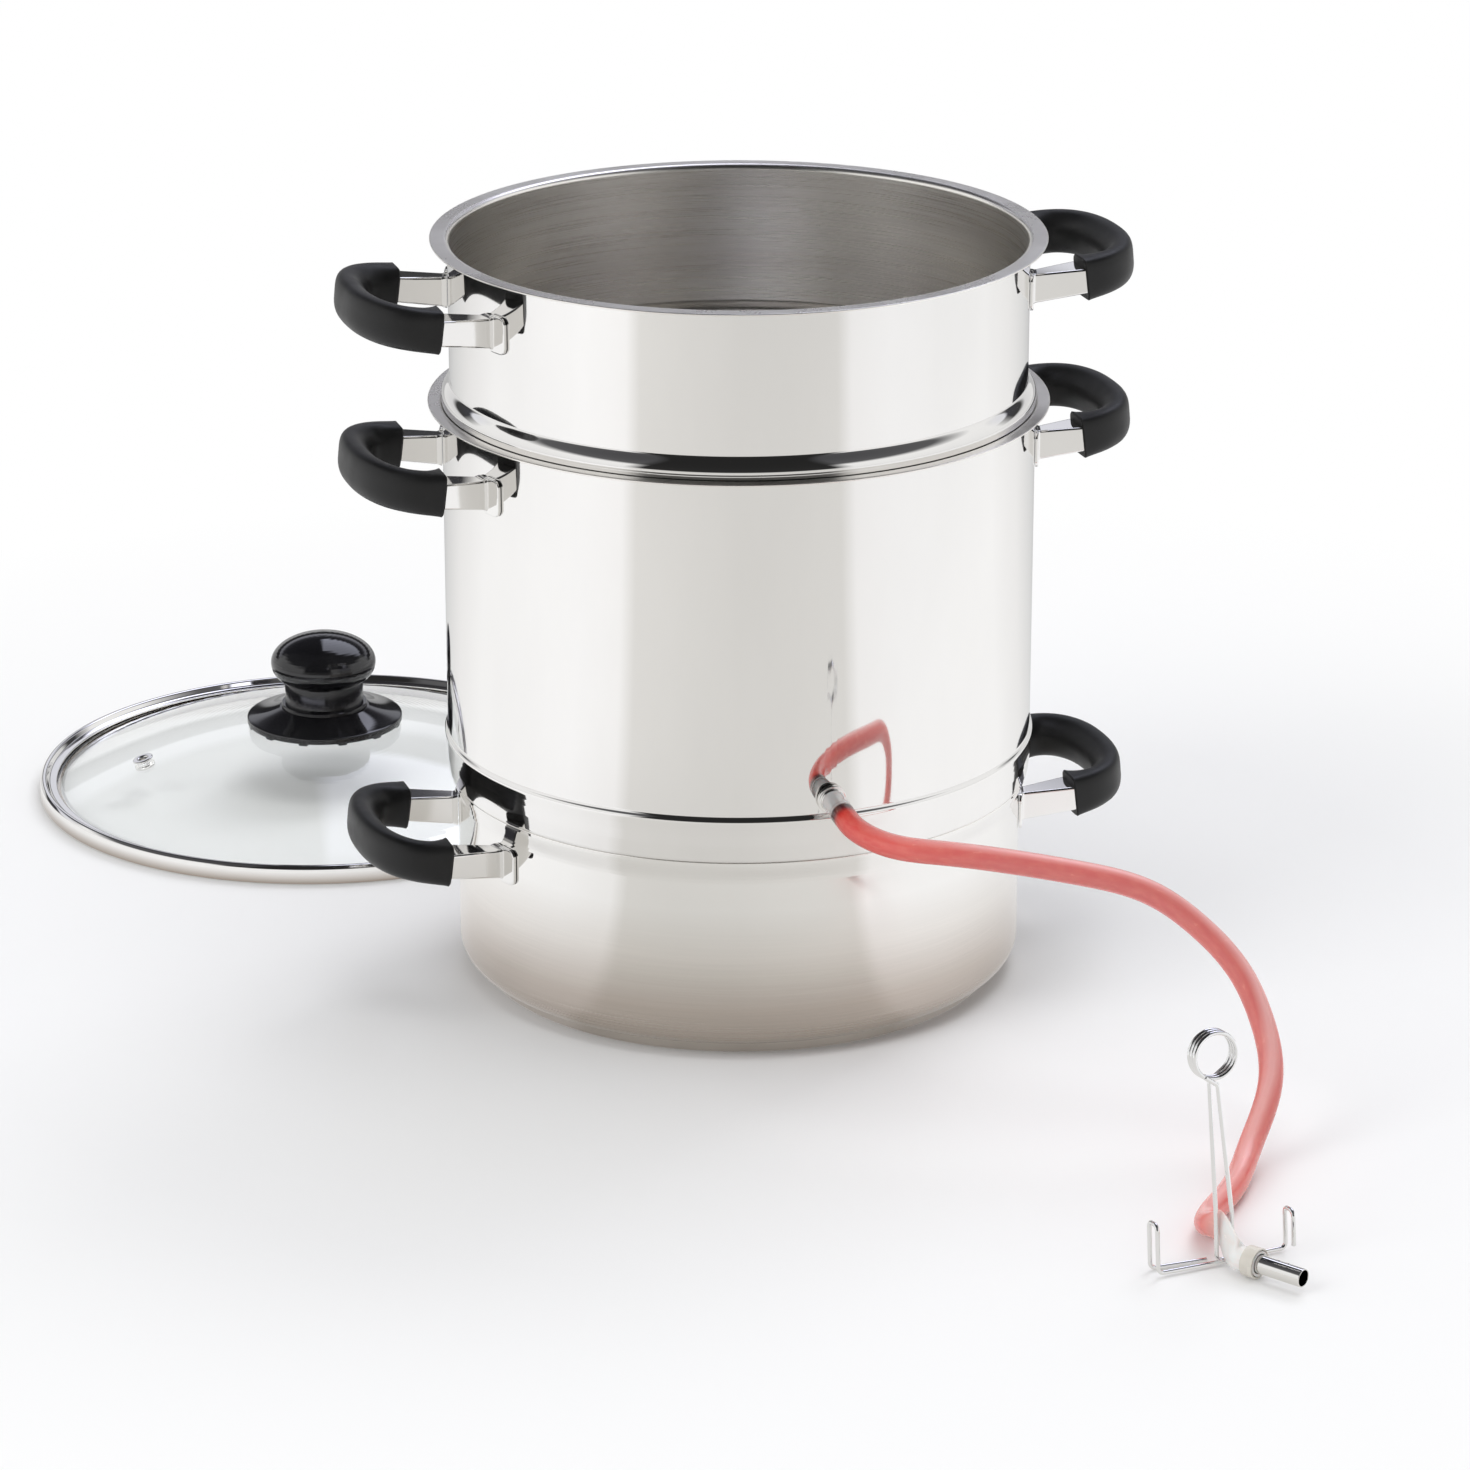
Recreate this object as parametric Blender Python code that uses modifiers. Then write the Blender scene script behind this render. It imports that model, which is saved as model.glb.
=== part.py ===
"""Steam juicer: a water pot, a juice kettle with spout and hose, a fruit basket, and a glass lid laid aside.

Metres, +Z up. The origin is the centre of the base's underside. The spout faces -Y and the handles lie on X.
"""

import math

import bmesh
import bpy
import numpy as np
from mathutils import Matrix, Vector

# Fits and steps shared by every piece
GAP = 0.0003
OVERRUN = 0.003
MERGE = 0.00001
POT_STEPS = 36
SMALL_STEPS = 24
TUBE_STEPS = 16
SMOOTH_ANGLE = math.radians(35)

# Sheet of the three pots, and the rounding inside their rims
SHEET = 0.0009
LIP_FILLET = 0.0025

# Water pot and its welded base
WATER_R = 0.1303
WATER_H = 0.0963
WATER_FLARE = 0.0032
WATER_FLARE_H = 0.011
WATER_CORNER = 0.0105
BASE_R = 0.1193
BASE_THICK = 0.005
BASE_EDGE = 0.0012

# Juice kettle: it rests on the water pot's rim and reaches a little way into it
KETTLE_STEP = 0.0043
KETTLE_H = 0.1765
KETTLE_LIP = 0.0065
KETTLE_NEST = 0.0106
KETTLE_CORNER = 0.006
NEST_PLAY = 0.0008
RIM_COVER = 0.0005
BAND_H = 0.0197
BAND_OUT = 0.0013
BAND_LINE_H = 0.0022
BAND_MID_SHARE = 0.65
FLOOR_RISE = 0.007

# Steam chimney on the kettle's floor
STEAM_HOLE_R = 0.050
CHIMNEY_FOOT_R = 0.056
CHIMNEY_FLANGE = 0.007
CHIMNEY_TOP_R = 0.030
CHIMNEY_H = 0.075
CHIMNEY_LIP = 0.0025

# Fruit basket: its bead rests inside the kettle's rim
BASKET_STEP = 0.0035
BASKET_ABOVE = 0.0752
BASKET_DEPTH = 0.1523
BASKET_LIP = 0.0079
BASKET_CORNER = 0.012
BASKET_PLAY = 0.0047
BEAD_OUT = 0.0039
BEAD_H = 0.0097
BEAD_SHARES = ((0.0, 0.0), (0.56, 0.23), (0.92, 0.47), (1.0, 0.73))
SEAT_RUN = 0.001
NEST_DROP = 0.0105
STRAINER_RING = 0.032
STRAINER_RINGS = 3
STRAINER_HOLE_R = 0.003
HOLE_STEPS = 6

# Handles: two formed steel arms and a grip, tilted up a little
WATER_HANDLE_DROP = 0.022
KETTLE_HANDLE_DROP = 0.024
BASKET_HANDLE_DROP = 0.0255
HANDLE_TILT = math.radians(7)
HANDLE_STAND = 0.0154
ARM_SPREAD = 0.039
ARM_ROOT_INWARD = 0.002
ARM_ROOT_WIDTH = 0.008
ARM_ROOT_HEIGHT = 0.0145
ARM_END_WIDTH = 0.0155
ARM_END_HEIGHT = 0.0115
ARM_SINK = 0.012
ARM_ROUND = 0.0012
PLATE_WIDTH = 0.013
PLATE_HEIGHT = 0.017
PLATE_ROUND = 0.004
PLATE_THICK = 0.0014
PLATE_OUTWARD = 0.004
PLATE_SINK = 0.0006
GRIP_DEPTH = 0.0275
GRIP_STRAIGHT = 0.004
GRIP_THICK = 0.015
GRIP_HEIGHT = 0.0195
GRIP_ROUND_SHARE = 0.85
GRIP_SECTION_SHARE = 0.8
GRIP_STEPS = 12
GRIP_SECTION_STEPS = 10

# Spout
SPOUT_ABOVE_BAND = 0.0003
SPOUT_DIP = math.radians(6)
SPOUT_R = 0.00395
SPOUT_BORE_R = 0.003
SPOUT_LENGTH = 0.024
SPOUT_INSIDE = 0.005
FLANGE_R = 0.0066
FLANGE_THICK = 0.0022
FLANGE_STEP_R = 0.0054
FLANGE_STEP = 0.0016

# Hose, read as a smooth curve through points chosen by hand
HOSE_R = 0.0054
HOSE_BORE_R = 0.0044
HOSE_SIDES = 12
HOSE_SPACING = 0.014
HOSE_START_STRAIGHT = 0.0245
HOSE_END_STRAIGHT = 0.0095
HOSE_ROUTE = (
    (0.0131, -0.1902, 0.1203),
    (0.0276, -0.2011, 0.1203),
    (0.0550, -0.2139, 0.1178),
    (0.0833, -0.2244, 0.1130),
    (0.1117, -0.2356, 0.1048),
    (0.1315, -0.2448, 0.0900),
    (0.1457, -0.2564, 0.0722),
    (0.1521, -0.2670, 0.0535),
    (0.1501, -0.2840, 0.0325),
    (0.1348, -0.3017, 0.0130),
    (0.1151, -0.3290, 0.0060),
    (0.0974, -0.3494, 0.0060),
    (0.0884, -0.3655, 0.0088),
    (0.0873, -0.3875, 0.0132),
)
HOSE_END = (0.0953, -0.4053, 0.0069)
HOSE_END_TURN = math.radians(-57)

# Where the clamp closes the hose
PINCH_POINT = 13
PINCH_THICK = 0.0025
PINCH_TALL = 0.016
PINCH_SLIT = 0.0005
PINCH_FLAT = 0.0042
PINCH_REACH = 0.0125
PINCH_BOW = 0.0005
PINCH_SPACING = 0.0035

# Collar and steel outlet tube at the hose's end
COLLAR_LENGTH = 0.006
COLLAR_WALL = 0.0007
OUTLET_R = 0.00395
OUTLET_BORE_R = 0.0034
OUTLET_OUT = 0.0215
OUTLET_IN = 0.0075

# Wire clamp: a coil, two strands beside the hose, and a finger loop at each end
WIRE_R = 0.00095
CLAMP_LEAN = math.radians(6)
COIL_R = 0.0098
COIL_PITCH = 0.00235
COIL_TURNS = 2
COIL_START = math.radians(-55)
COIL_END = math.radians(235)
CURL_POINTS = 10
COIL_HEIGHT = 0.089
COIL_ASIDE = -0.0035
COIL_LEAST_GAP = 0.0004
STRAND_APART = 0.0004
STRAND_BEND_H = 0.021
BAR_PASS = 0.0025
NEAR_REACH = 0.0312
FAR_REACH = 0.0290
LOOP_WIDTH = 0.0073
NEAR_LOOP_H = 0.0205
FAR_LOOP_H = 0.018
LOOP_END_H = 0.003
RETURN_END = 0.006
RETURN_ASIDE = 0.0042
WIRE_BEND = 0.0025
BEND_STEPS = 3

# Lid, laid on the floor beside the pots
LID_X = -0.1300
LID_Y = 0.2870
LID_R = 0.145
LID_RING_SHEET = 0.0009
LID_RING_H = 0.0092
LID_RING_EDGE = 0.0014
LID_RING_ROLL = 0.0024
LID_TOP_FLANGE = 0.0085
LID_LOW_FLANGE = 0.0105
GLASS_THICK = 0.0041
GLASS_RISE = 0.0297
GLASS_FLAT = 0.0095
GLASS_HOLE_R = 0.0033
GLASS_POINT_SHARES = (1.0, 0.93, 0.8, 0.62, 0.42, 0.2)
VENT_AT = 0.0935
VENT_ANGLE = math.radians(178)
VENT_R = 0.0032
VENT_BORE_R = 0.0021
VENT_FLANGE_R = 0.0052
VENT_FLANGE = 0.0012

# Knob, its skirt, and the screw and washer that hold them on the glass
SKIRT_R = 0.0393
SKIRT_H = 0.0068
SKIRT_EDGE = 0.0022
SKIRT_TOP_R = 0.0225
SKIRT_HUB_R = 0.010
SKIRT_HOLLOW = 0.0028
SKIRT_FEET = 12
SKIRT_FOOT = 0.0028
SKIRT_FOOT_H = 0.0020
SKIRT_FOOT_SINK = 0.0011
KNOB_R = 0.0265
KNOB_NECK_R = 0.0198
KNOB_COLLAR_R = 0.0217
KNOB_COLLAR_H = 0.0018
KNOB_NECK_H = 0.0145
KNOB_UNDER_H = 0.0085
KNOB_UNDER_SHARE = 0.33
KNOB_DOME_H = 0.0145
KNOB_DOME_POINTS = 6
SCREW_R = 0.0025
SCREW_UP = 0.030
SCREW_HEAD_R = 0.005
SCREW_HEAD_H = 0.003
WASHER_R = 0.009
WASHER_THICK = 0.0015

# Sizes that follow from those above
KETTLE_R = WATER_R + KETTLE_STEP
BASKET_R = KETTLE_R - BASKET_STEP
KETTLE_SEAT_Z = WATER_H + GAP
KETTLE_TOP_Z = KETTLE_SEAT_Z + KETTLE_H
BASKET_TOP_Z = KETTLE_TOP_Z + BASKET_ABOVE
KETTLE_FLOOR_Z = KETTLE_SEAT_Z - KETTLE_NEST + FLOOR_RISE
BASKET_NEST_R = KETTLE_R - SHEET - BASKET_PLAY
GRIP_X = KETTLE_R + HANDLE_STAND
SPOUT_Z = KETTLE_SEAT_Z + BAND_H + BAND_LINE_H + SPOUT_ABOVE_BAND + FLANGE_R
SPOUT_WAY = Vector((0, -math.cos(SPOUT_DIP), -math.sin(SPOUT_DIP)))
SPOUT_AT = Vector((0, -KETTLE_R, SPOUT_Z))
GLASS_R = LID_R - LID_RING_SHEET - GAP
GLASS_RIM_Z = LID_RING_SHEET + GAP + GLASS_THICK
GLASS_TOP_Z = GLASS_RIM_Z + GLASS_RISE
STRAND_ASIDE = PINCH_THICK / 2 + PINCH_BOW + GAP + WIRE_R

BLACK_SOFT = ("grip_black", (0.012, 0.012, 0.013), 0.55, 0.0)
BLACK_GLOSS = ("knob_black", (0.008, 0.008, 0.009), 0.12, 0.0)
POLISHED = ("polished_steel", (0.78, 0.77, 0.76), 0.08, 1.0)
BRUSHED = ("brushed_steel", (0.62, 0.60, 0.57), 0.32, 1.0)
GLASS = ("lid_glass", (0.86, 0.92, 0.90), 0.03, 0.0)
RUBBER = ("washer_rubber", (0.02, 0.02, 0.02), 0.7, 0.0)
HOSE_RED = ("hose_silicone", (0.80, 0.18, 0.17), 0.25, 0.0)
COLLAR_CLEAR = ("collar_clear", (0.80, 0.78, 0.66), 0.3, 0.0)


def clear_scene():
    for obj in list(bpy.data.objects):
        bpy.data.objects.remove(obj)


def new_collection(name, hidden=False):
    collection = bpy.data.collections.new(name)
    collection.hide_render = hidden
    bpy.context.scene.collection.children.link(collection)
    return collection


def material(name, colour, roughness, metallic):
    found = bpy.data.materials.get(name)
    if found:
        return found
    made = bpy.data.materials.new(name)
    made.use_nodes = True
    shader = made.node_tree.nodes["Principled BSDF"]
    shader.inputs["Base Color"].default_value = (*colour, 1.0)
    shader.inputs["Roughness"].default_value = roughness
    shader.inputs["Metallic"].default_value = metallic
    made.diffuse_color = (*colour, 1.0)
    return made


def add_object(name, data, look, matrix=None, parent=None):
    """Links a piece, gives it its material and sets its place under its parent."""
    obj = bpy.data.objects.new(name, data)
    PARTS.objects.link(obj)
    if parent:
        obj.parent = parent
    if matrix:
        obj.matrix_local = matrix
    if look:
        obj.data.materials.append(material(*look))
    return obj


def add_helper(name, data, matrix=None):
    obj = bpy.data.objects.new(name, data)
    HELPERS.objects.link(obj)
    obj.hide_render = True
    if obj.type == "MESH":
        obj.display_type = "WIRE"
    if matrix:
        obj.matrix_local = matrix
    return obj


def add_empty(name, matrix, parent=None):
    obj = bpy.data.objects.new(name, None)
    PARTS.objects.link(obj)
    if parent:
        obj.parent = parent
    obj.matrix_local = matrix
    return obj


def boolean(obj, other, operation="DIFFERENCE"):
    modifier = obj.modifiers.new(operation.lower(), "BOOLEAN")
    modifier.operation = operation
    modifier.object = other
    modifier.solver = "EXACT"


def smooth(mesh):
    mesh.shade_smooth()
    mesh.set_sharp_from_angle(angle=SMOOTH_ANGLE)


def profile_mesh(name, outline, closed):
    """Edges of a turned profile in the XZ plane."""
    mesh = bpy.data.meshes.new(name)
    edges = [(i, i + 1) for i in range(len(outline) - 1)]
    if closed:
        edges.append((len(outline) - 1, 0))
    mesh.from_pydata([(r, 0, z) for r, z in outline], edges, [])
    return mesh


def add_screw(obj, steps):
    modifier = obj.modifiers.new("turn", "SCREW")
    modifier.steps = steps
    modifier.render_steps = steps
    modifier.use_merge_vertices = True
    modifier.merge_threshold = MERGE
    modifier.use_smooth_shade = True


def turned(name, outline, look, steps, matrix=None, parent=None):
    """A turned solid: the outline runs down its outer side and back up its inner side or its axis."""
    closed = outline[0][0] > 0 or outline[-1][0] > 0
    obj = add_object(name, profile_mesh(name, outline, closed), look, matrix, parent)
    add_screw(obj, steps)
    return obj


def turned_helper(name, outline, steps, matrix=None):
    obj = add_helper(name, profile_mesh(name, outline, outline[0][0] > 0), matrix)
    add_screw(obj, steps)
    return obj


def rod(radius, low, high):
    """Outline of a plain cylinder between two heights."""
    return [(0, high), (radius, high), (radius, low), (0, low)]


def tube(radius, bore, low, high):
    return [(radius, high), (radius, low), (bore, low), (bore, high)]


def arc(centre, radius, start, end, steps):
    """Points on an arc, with its angles in degrees."""
    points = []
    for i in range(steps + 1):
        angle = math.radians(start + (end - start) * i / steps)
        points.append((centre[0] + radius * math.cos(angle), centre[1] + radius * math.sin(angle)))
    return points


def offset(points, distance):
    """The line at a distance to the right of another, with mitred corners."""
    normals = []
    for (r0, z0), (r1, z1) in zip(points, points[1:]):
        length = math.hypot(r1 - r0, z1 - z0)
        normals.append(((z1 - z0) / length, (r0 - r1) / length))
    moved = []
    for i, (r, z) in enumerate(points):
        before = normals[max(i - 1, 0)]
        after = normals[min(i, len(normals) - 1)]
        share = 1 + before[0] * after[0] + before[1] * after[1]
        step = distance / share
        moved.append((r + step * (before[0] + after[0]), z + step * (before[1] + after[1])))
    return moved


def sheet(outer, thickness):
    """Outline of a formed sheet from its outer line."""
    return outer + offset(outer, thickness)[::-1]


def way_matrix(at, way):
    """Stands local +Z along a direction."""
    return Matrix.Translation(at) @ Vector(way).to_track_quat("Z", "Y").to_matrix().to_4x4()


def lip(radius, width, top):
    """Outer line of a rim: a flat flange and the rounding down to the wall."""
    centre = (radius - SHEET + LIP_FILLET, top - LIP_FILLET)
    return [(radius + width, top - SHEET)] + arc(centre, LIP_FILLET - SHEET, 90, 180, 2)


def water_pot():
    bottom = BASE_THICK + GAP
    outer = [
        (WATER_R + WATER_FLARE, WATER_H),
        (WATER_R, WATER_H - WATER_FLARE_H),
    ]
    outer += arc((WATER_R - WATER_CORNER, bottom + WATER_CORNER), WATER_CORNER, 0, -90, 4)
    outer.append((0, bottom))
    turned("water_pot", sheet(outer, SHEET), POLISHED, POT_STEPS)
    disc = [
        (0, BASE_THICK),
        (BASE_R, BASE_THICK),
        (BASE_R, BASE_EDGE),
        (BASE_R - BASE_EDGE, 0),
        (0, 0),
    ]
    turned("water_pot_base", disc, BRUSHED, POT_STEPS)


def kettle_outer():
    """Outer line of the juice kettle, from its rim down its wall to the steam hole."""
    shoulder_r = WATER_R + WATER_FLARE + RIM_COVER
    nest_r = WATER_R - SHEET - NEST_PLAY
    low = KETTLE_SEAT_Z - KETTLE_NEST
    band_top = KETTLE_SEAT_Z + BAND_H
    band_mid = KETTLE_SEAT_Z + BAND_H * BAND_MID_SHARE
    line = lip(KETTLE_R, KETTLE_LIP, KETTLE_TOP_Z)
    line += [
        (KETTLE_R, band_top + BAND_LINE_H),
        (KETTLE_R + BAND_OUT, band_top),
        (KETTLE_R + BAND_OUT / 2, band_mid),
        (shoulder_r, KETTLE_SEAT_Z),
        (nest_r, KETTLE_SEAT_Z),
    ]
    line += arc((nest_r - KETTLE_CORNER, low + KETTLE_CORNER), KETTLE_CORNER, 0, -90, 3)
    line += [
        (CHIMNEY_FOOT_R + CHIMNEY_FLANGE + OVERRUN, KETTLE_FLOOR_Z),
        (STEAM_HOLE_R, KETTLE_FLOOR_Z),
    ]
    return line


def juice_kettle():
    kettle = turned("juice_kettle", sheet(kettle_outer(), SHEET), POLISHED, POT_STEPS)
    hole = turned_helper(
        "spout_hole",
        rod(SPOUT_R + GAP, -FLANGE_R, FLANGE_R),
        TUBE_STEPS,
        way_matrix(SPOUT_AT, SPOUT_WAY),
    )
    boolean(kettle, hole)
    foot = KETTLE_FLOOR_Z + SHEET + GAP + SHEET
    top = foot + CHIMNEY_H
    outer = [
        (CHIMNEY_TOP_R + CHIMNEY_LIP, top),
        (CHIMNEY_TOP_R, top - CHIMNEY_LIP),
        (CHIMNEY_FOOT_R, foot),
        (CHIMNEY_FOOT_R + CHIMNEY_FLANGE, foot),
    ]
    turned("steam_chimney", sheet(outer, SHEET), BRUSHED, POT_STEPS)


def basket_outer():
    """Outer line of the fruit basket, from its rim over its bead to the middle of its floor."""
    lip_centre = (KETTLE_R - SHEET + LIP_FILLET, KETTLE_TOP_Z - LIP_FILLET)
    lean = math.sqrt(0.5)
    seat = (lip_centre[0] - (LIP_FILLET + GAP) * lean, lip_centre[1] + (LIP_FILLET + GAP) * lean)
    floor = BASKET_TOP_Z - BASKET_DEPTH
    line = lip(BASKET_R, BASKET_LIP, BASKET_TOP_Z)
    for out, down in BEAD_SHARES:
        line.append((BASKET_R + BEAD_OUT * out, KETTLE_TOP_Z + BEAD_H * (1 - down)))
    line += [
        (seat[0] + SEAT_RUN * lean, seat[1] + SEAT_RUN * lean),
        (seat[0] - SEAT_RUN * lean, seat[1] - SEAT_RUN * lean),
        (BASKET_NEST_R, KETTLE_TOP_Z - NEST_DROP),
    ]
    line += arc((BASKET_NEST_R - BASKET_CORNER, floor + BASKET_CORNER), BASKET_CORNER, 0, -90, 3)
    line.append((0, floor))
    return line


def strainer_cutter():
    """One mesh that holds a short rod for each hole of the basket's floor."""
    floor = BASKET_TOP_Z - BASKET_DEPTH + SHEET / 2
    mesh = bpy.data.meshes.new("strainer_holes")
    shape = bmesh.new()
    places = [(0, 0)]
    for ring in range(1, STRAINER_RINGS + 1):
        count = 6 * ring
        for i in range(count):
            angle = 2 * math.pi * (i + ring / 2) / count
            places.append((STRAINER_RING * ring * math.cos(angle), STRAINER_RING * ring * math.sin(angle)))
    for x, y in places:
        bmesh.ops.create_cone(
            shape,
            cap_ends=True,
            segments=HOLE_STEPS,
            radius1=STRAINER_HOLE_R,
            radius2=STRAINER_HOLE_R,
            depth=SHEET + 2 * OVERRUN,
            matrix=Matrix.Translation((x, y, floor)),
        )
    shape.to_mesh(mesh)
    shape.free()
    return add_helper("strainer_holes", mesh)


def fruit_basket():
    basket = turned("fruit_basket", sheet(basket_outer(), SHEET), POLISHED, POT_STEPS)
    boolean(basket, strainer_cutter())


def rounded_rectangle(width, height, radius):
    points = []
    corners = ((1, 1, 0), (-1, 1, 90), (-1, -1, 180), (1, -1, 270))
    for across, up, start in corners:
        centre = (across * (width / 2 - radius), up * (height / 2 - radius))
        points += arc(centre, radius, start, start + 90, 3)
    return points


def plate_mesh():
    """The foot plate, lying in the YZ plane with its back at X = 0."""
    shape = bmesh.new()
    outline = rounded_rectangle(PLATE_WIDTH, PLATE_HEIGHT, PLATE_ROUND)
    face = shape.faces.new([shape.verts.new((-PLATE_SINK, y, z)) for y, z in outline])
    grown = bmesh.ops.extrude_face_region(shape, geom=[face])["geom"]
    ends = [item for item in grown if isinstance(item, bmesh.types.BMVert)]
    bmesh.ops.translate(shape, verts=ends, vec=(PLATE_THICK + PLATE_SINK, 0, 0))
    return shape


def arm_mesh(foot_x, side):
    """The formed arm, wide at the grip and narrow at the wall, before it is tilted."""
    shape = bmesh.new()
    bmesh.ops.create_cube(shape, size=1)
    root_y = side * (ARM_SPREAD - ARM_ROOT_INWARD)
    end_y = side * ARM_SPREAD
    for vert in shape.verts:
        _, across, up = vert.co
        if vert.co.x > 0:
            vert.co = (GRIP_X - GAP, end_y + across * ARM_END_WIDTH, up * ARM_END_HEIGHT)
        else:
            vert.co = (foot_x - ARM_SINK, root_y + across * ARM_ROOT_WIDTH, up * ARM_ROOT_HEIGHT)
    long_edges = [edge for edge in shape.edges if abs(edge.verts[0].co.x - edge.verts[1].co.x) > ARM_SINK]
    bmesh.ops.bevel(shape, geom=long_edges, offset=ARM_ROUND, segments=2, profile=0.5, affect="EDGES")
    return shape


def mesh_from(name, shape, matrix=None):
    if matrix:
        bmesh.ops.transform(shape, matrix=matrix, verts=shape.verts)
    bmesh.ops.recalc_face_normals(shape, faces=shape.faces)
    mesh = bpy.data.meshes.new(name)
    shape.to_mesh(mesh)
    shape.free()
    return mesh


def tilt_at(foot_x):
    return (
        Matrix.Translation((foot_x, 0, 0))
        @ Matrix.Rotation(-HANDLE_TILT, 4, "Y")
        @ Matrix.Translation((-foot_x, 0, 0))
    )


def handle_arm(name, radius, side, frame, wall):
    """One arm with its foot plate, trimmed to the pot's round wall."""
    foot_x = math.sqrt(radius**2 - ARM_SPREAD**2)
    arm = add_object(name, mesh_from(name, arm_mesh(foot_x, side), tilt_at(foot_x)), POLISHED, frame)
    turn = side * math.asin((ARM_SPREAD + PLATE_OUTWARD) / radius)
    place = Matrix.Rotation(turn, 4, "Z") @ Matrix.Translation((radius + GAP, 0, 0))
    plate = add_helper(name + "_plate", mesh_from(name + "_plate", plate_mesh(), place), frame)
    boolean(arm, plate, "UNION")
    boolean(arm, wall)
    smooth(arm.data)


def grip_section():
    """Closed outline of the grip's section, as a guide for the grips' curves."""
    data = bpy.data.curves.new("grip_section", "CURVE")
    data.dimensions = "2D"
    spline = data.splines.new("POLY")
    spline.points.add(GRIP_SECTION_STEPS - 1)
    for i, point in enumerate(spline.points):
        angle = -2 * math.pi * i / GRIP_SECTION_STEPS
        across = math.copysign(abs(math.cos(angle)) ** GRIP_SECTION_SHARE, math.cos(angle))
        up = math.copysign(abs(math.sin(angle)) ** GRIP_SECTION_SHARE, math.sin(angle))
        point.co = (across * GRIP_THICK / 2, up * GRIP_HEIGHT / 2, 0, 1)
    spline.use_cyclic_u = True
    return add_helper("grip_section", data)


def poly_curve(name, points):
    data = bpy.data.curves.new(name, "CURVE")
    data.dimensions = "3D"
    spline = data.splines.new("POLY")
    spline.points.add(len(points) - 1)
    for point, place in zip(spline.points, points):
        point.co = (*place, 1)
    data.use_fill_caps = True
    return data


def grip_path():
    """Centre line of the grip's bow, in the plane of the arms."""
    depth = GRIP_DEPTH - GRIP_STRAIGHT
    points = [(GRIP_X, -ARM_SPREAD, 0)]
    for i in range(GRIP_STEPS + 1):
        angle = math.pi * (i / GRIP_STEPS - 0.5)
        out = max(math.cos(angle), 0) ** GRIP_ROUND_SHARE
        across = math.copysign(abs(math.sin(angle)) ** GRIP_ROUND_SHARE, math.sin(angle))
        points.append((GRIP_X + GRIP_STRAIGHT + depth * out, across * ARM_SPREAD, 0))
    points.append((GRIP_X, ARM_SPREAD, 0))
    return points


def handles(pot, radius, height, section):
    """Two handles on one pot, each a grip on two arms."""
    wall = turned_helper(
        pot + "_wall_trim",
        rod(radius + GAP, height - PLATE_HEIGHT * 2, height + PLATE_HEIGHT * 2),
        POT_STEPS,
    )
    foot_x = math.sqrt(radius**2 - ARM_SPREAD**2)
    for word, turn in (("right", 0), ("left", math.pi)):
        frame = Matrix.Rotation(turn, 4, "Z") @ Matrix.Translation((0, 0, height))
        for side_word, side in (("front", -1), ("back", 1)):
            if word == "left":
                side = -side
            handle_arm(f"{pot}_{word}_arm_{side_word}", radius, side, frame, wall)
        data = poly_curve(f"{pot}_{word}_grip", grip_path())
        data.bevel_mode = "OBJECT"
        data.bevel_object = section
        data.twist_mode = "Z_UP"
        add_object(f"{pot}_{word}_grip", data, BLACK_SOFT, frame @ tilt_at(foot_x))


def juice_spout():
    """The spout's tube through the wall, with a stepped flange that fits the round wall."""
    matrix = way_matrix(SPOUT_AT, SPOUT_WAY)
    face = GAP + FLANGE_THICK
    pipe = rod(SPOUT_R, -SPOUT_INSIDE, SPOUT_LENGTH)
    spout = turned("juice_spout", pipe, POLISHED, TUBE_STEPS, matrix)
    flange_outline = [
        (0, face + FLANGE_STEP),
        (FLANGE_STEP_R, face + FLANGE_STEP),
        (FLANGE_STEP_R, face),
        (FLANGE_R, face),
        (FLANGE_R, -FLANGE_THICK),
        (0, -FLANGE_THICK),
    ]
    flange = turned_helper("spout_flange", flange_outline, SMALL_STEPS, matrix)
    wall = turned_helper(
        "spout_wall_trim",
        rod(KETTLE_R + GAP, SPOUT_Z - FLANGE_R * 2, SPOUT_Z + FLANGE_R * 2),
        POT_STEPS,
    )
    boolean(flange, wall)
    boolean(spout, flange, "UNION")
    length = SPOUT_LENGTH + OVERRUN
    bore = turned_helper("spout_bore", rod(SPOUT_BORE_R, -length, length), TUBE_STEPS, matrix)
    boolean(spout, bore)


def clamped_spline(points, start_way, end_way):
    """A function of arc length along a cubic spline through points, with its two end directions given."""
    p = np.array(points, float)
    chord = np.linalg.norm(np.diff(p, axis=0), axis=1)
    at = np.concatenate([[0], np.cumsum(chord)])
    n = len(p)
    system = np.zeros((n, n))
    wanted = np.zeros((n, 3))
    system[0, 0], system[0, 1] = 2 * chord[0], chord[0]
    wanted[0] = 6 * ((p[1] - p[0]) / chord[0] - np.array(start_way))
    system[-1, -1], system[-1, -2] = 2 * chord[-1], chord[-1]
    wanted[-1] = 6 * (np.array(end_way) - (p[-1] - p[-2]) / chord[-1])
    for i in range(1, n - 1):
        system[i, i - 1 : i + 2] = chord[i - 1], 2 * (chord[i - 1] + chord[i]), chord[i]
        wanted[i] = 6 * ((p[i + 1] - p[i]) / chord[i] - (p[i] - p[i - 1]) / chord[i - 1])
    bend = np.linalg.solve(system, wanted)

    def point(distance):
        i = min(int(np.searchsorted(at, distance, side="right")) - 1, n - 2)
        left = at[i + 1] - distance
        right = distance - at[i]
        curve = (bend[i] * left**3 + bend[i + 1] * right**3) / (6 * chord[i])
        straight = (p[i] / chord[i] - bend[i] * chord[i] / 6) * left
        straight += (p[i + 1] / chord[i] - bend[i + 1] * chord[i] / 6) * right
        return curve + straight

    return point, at


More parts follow.
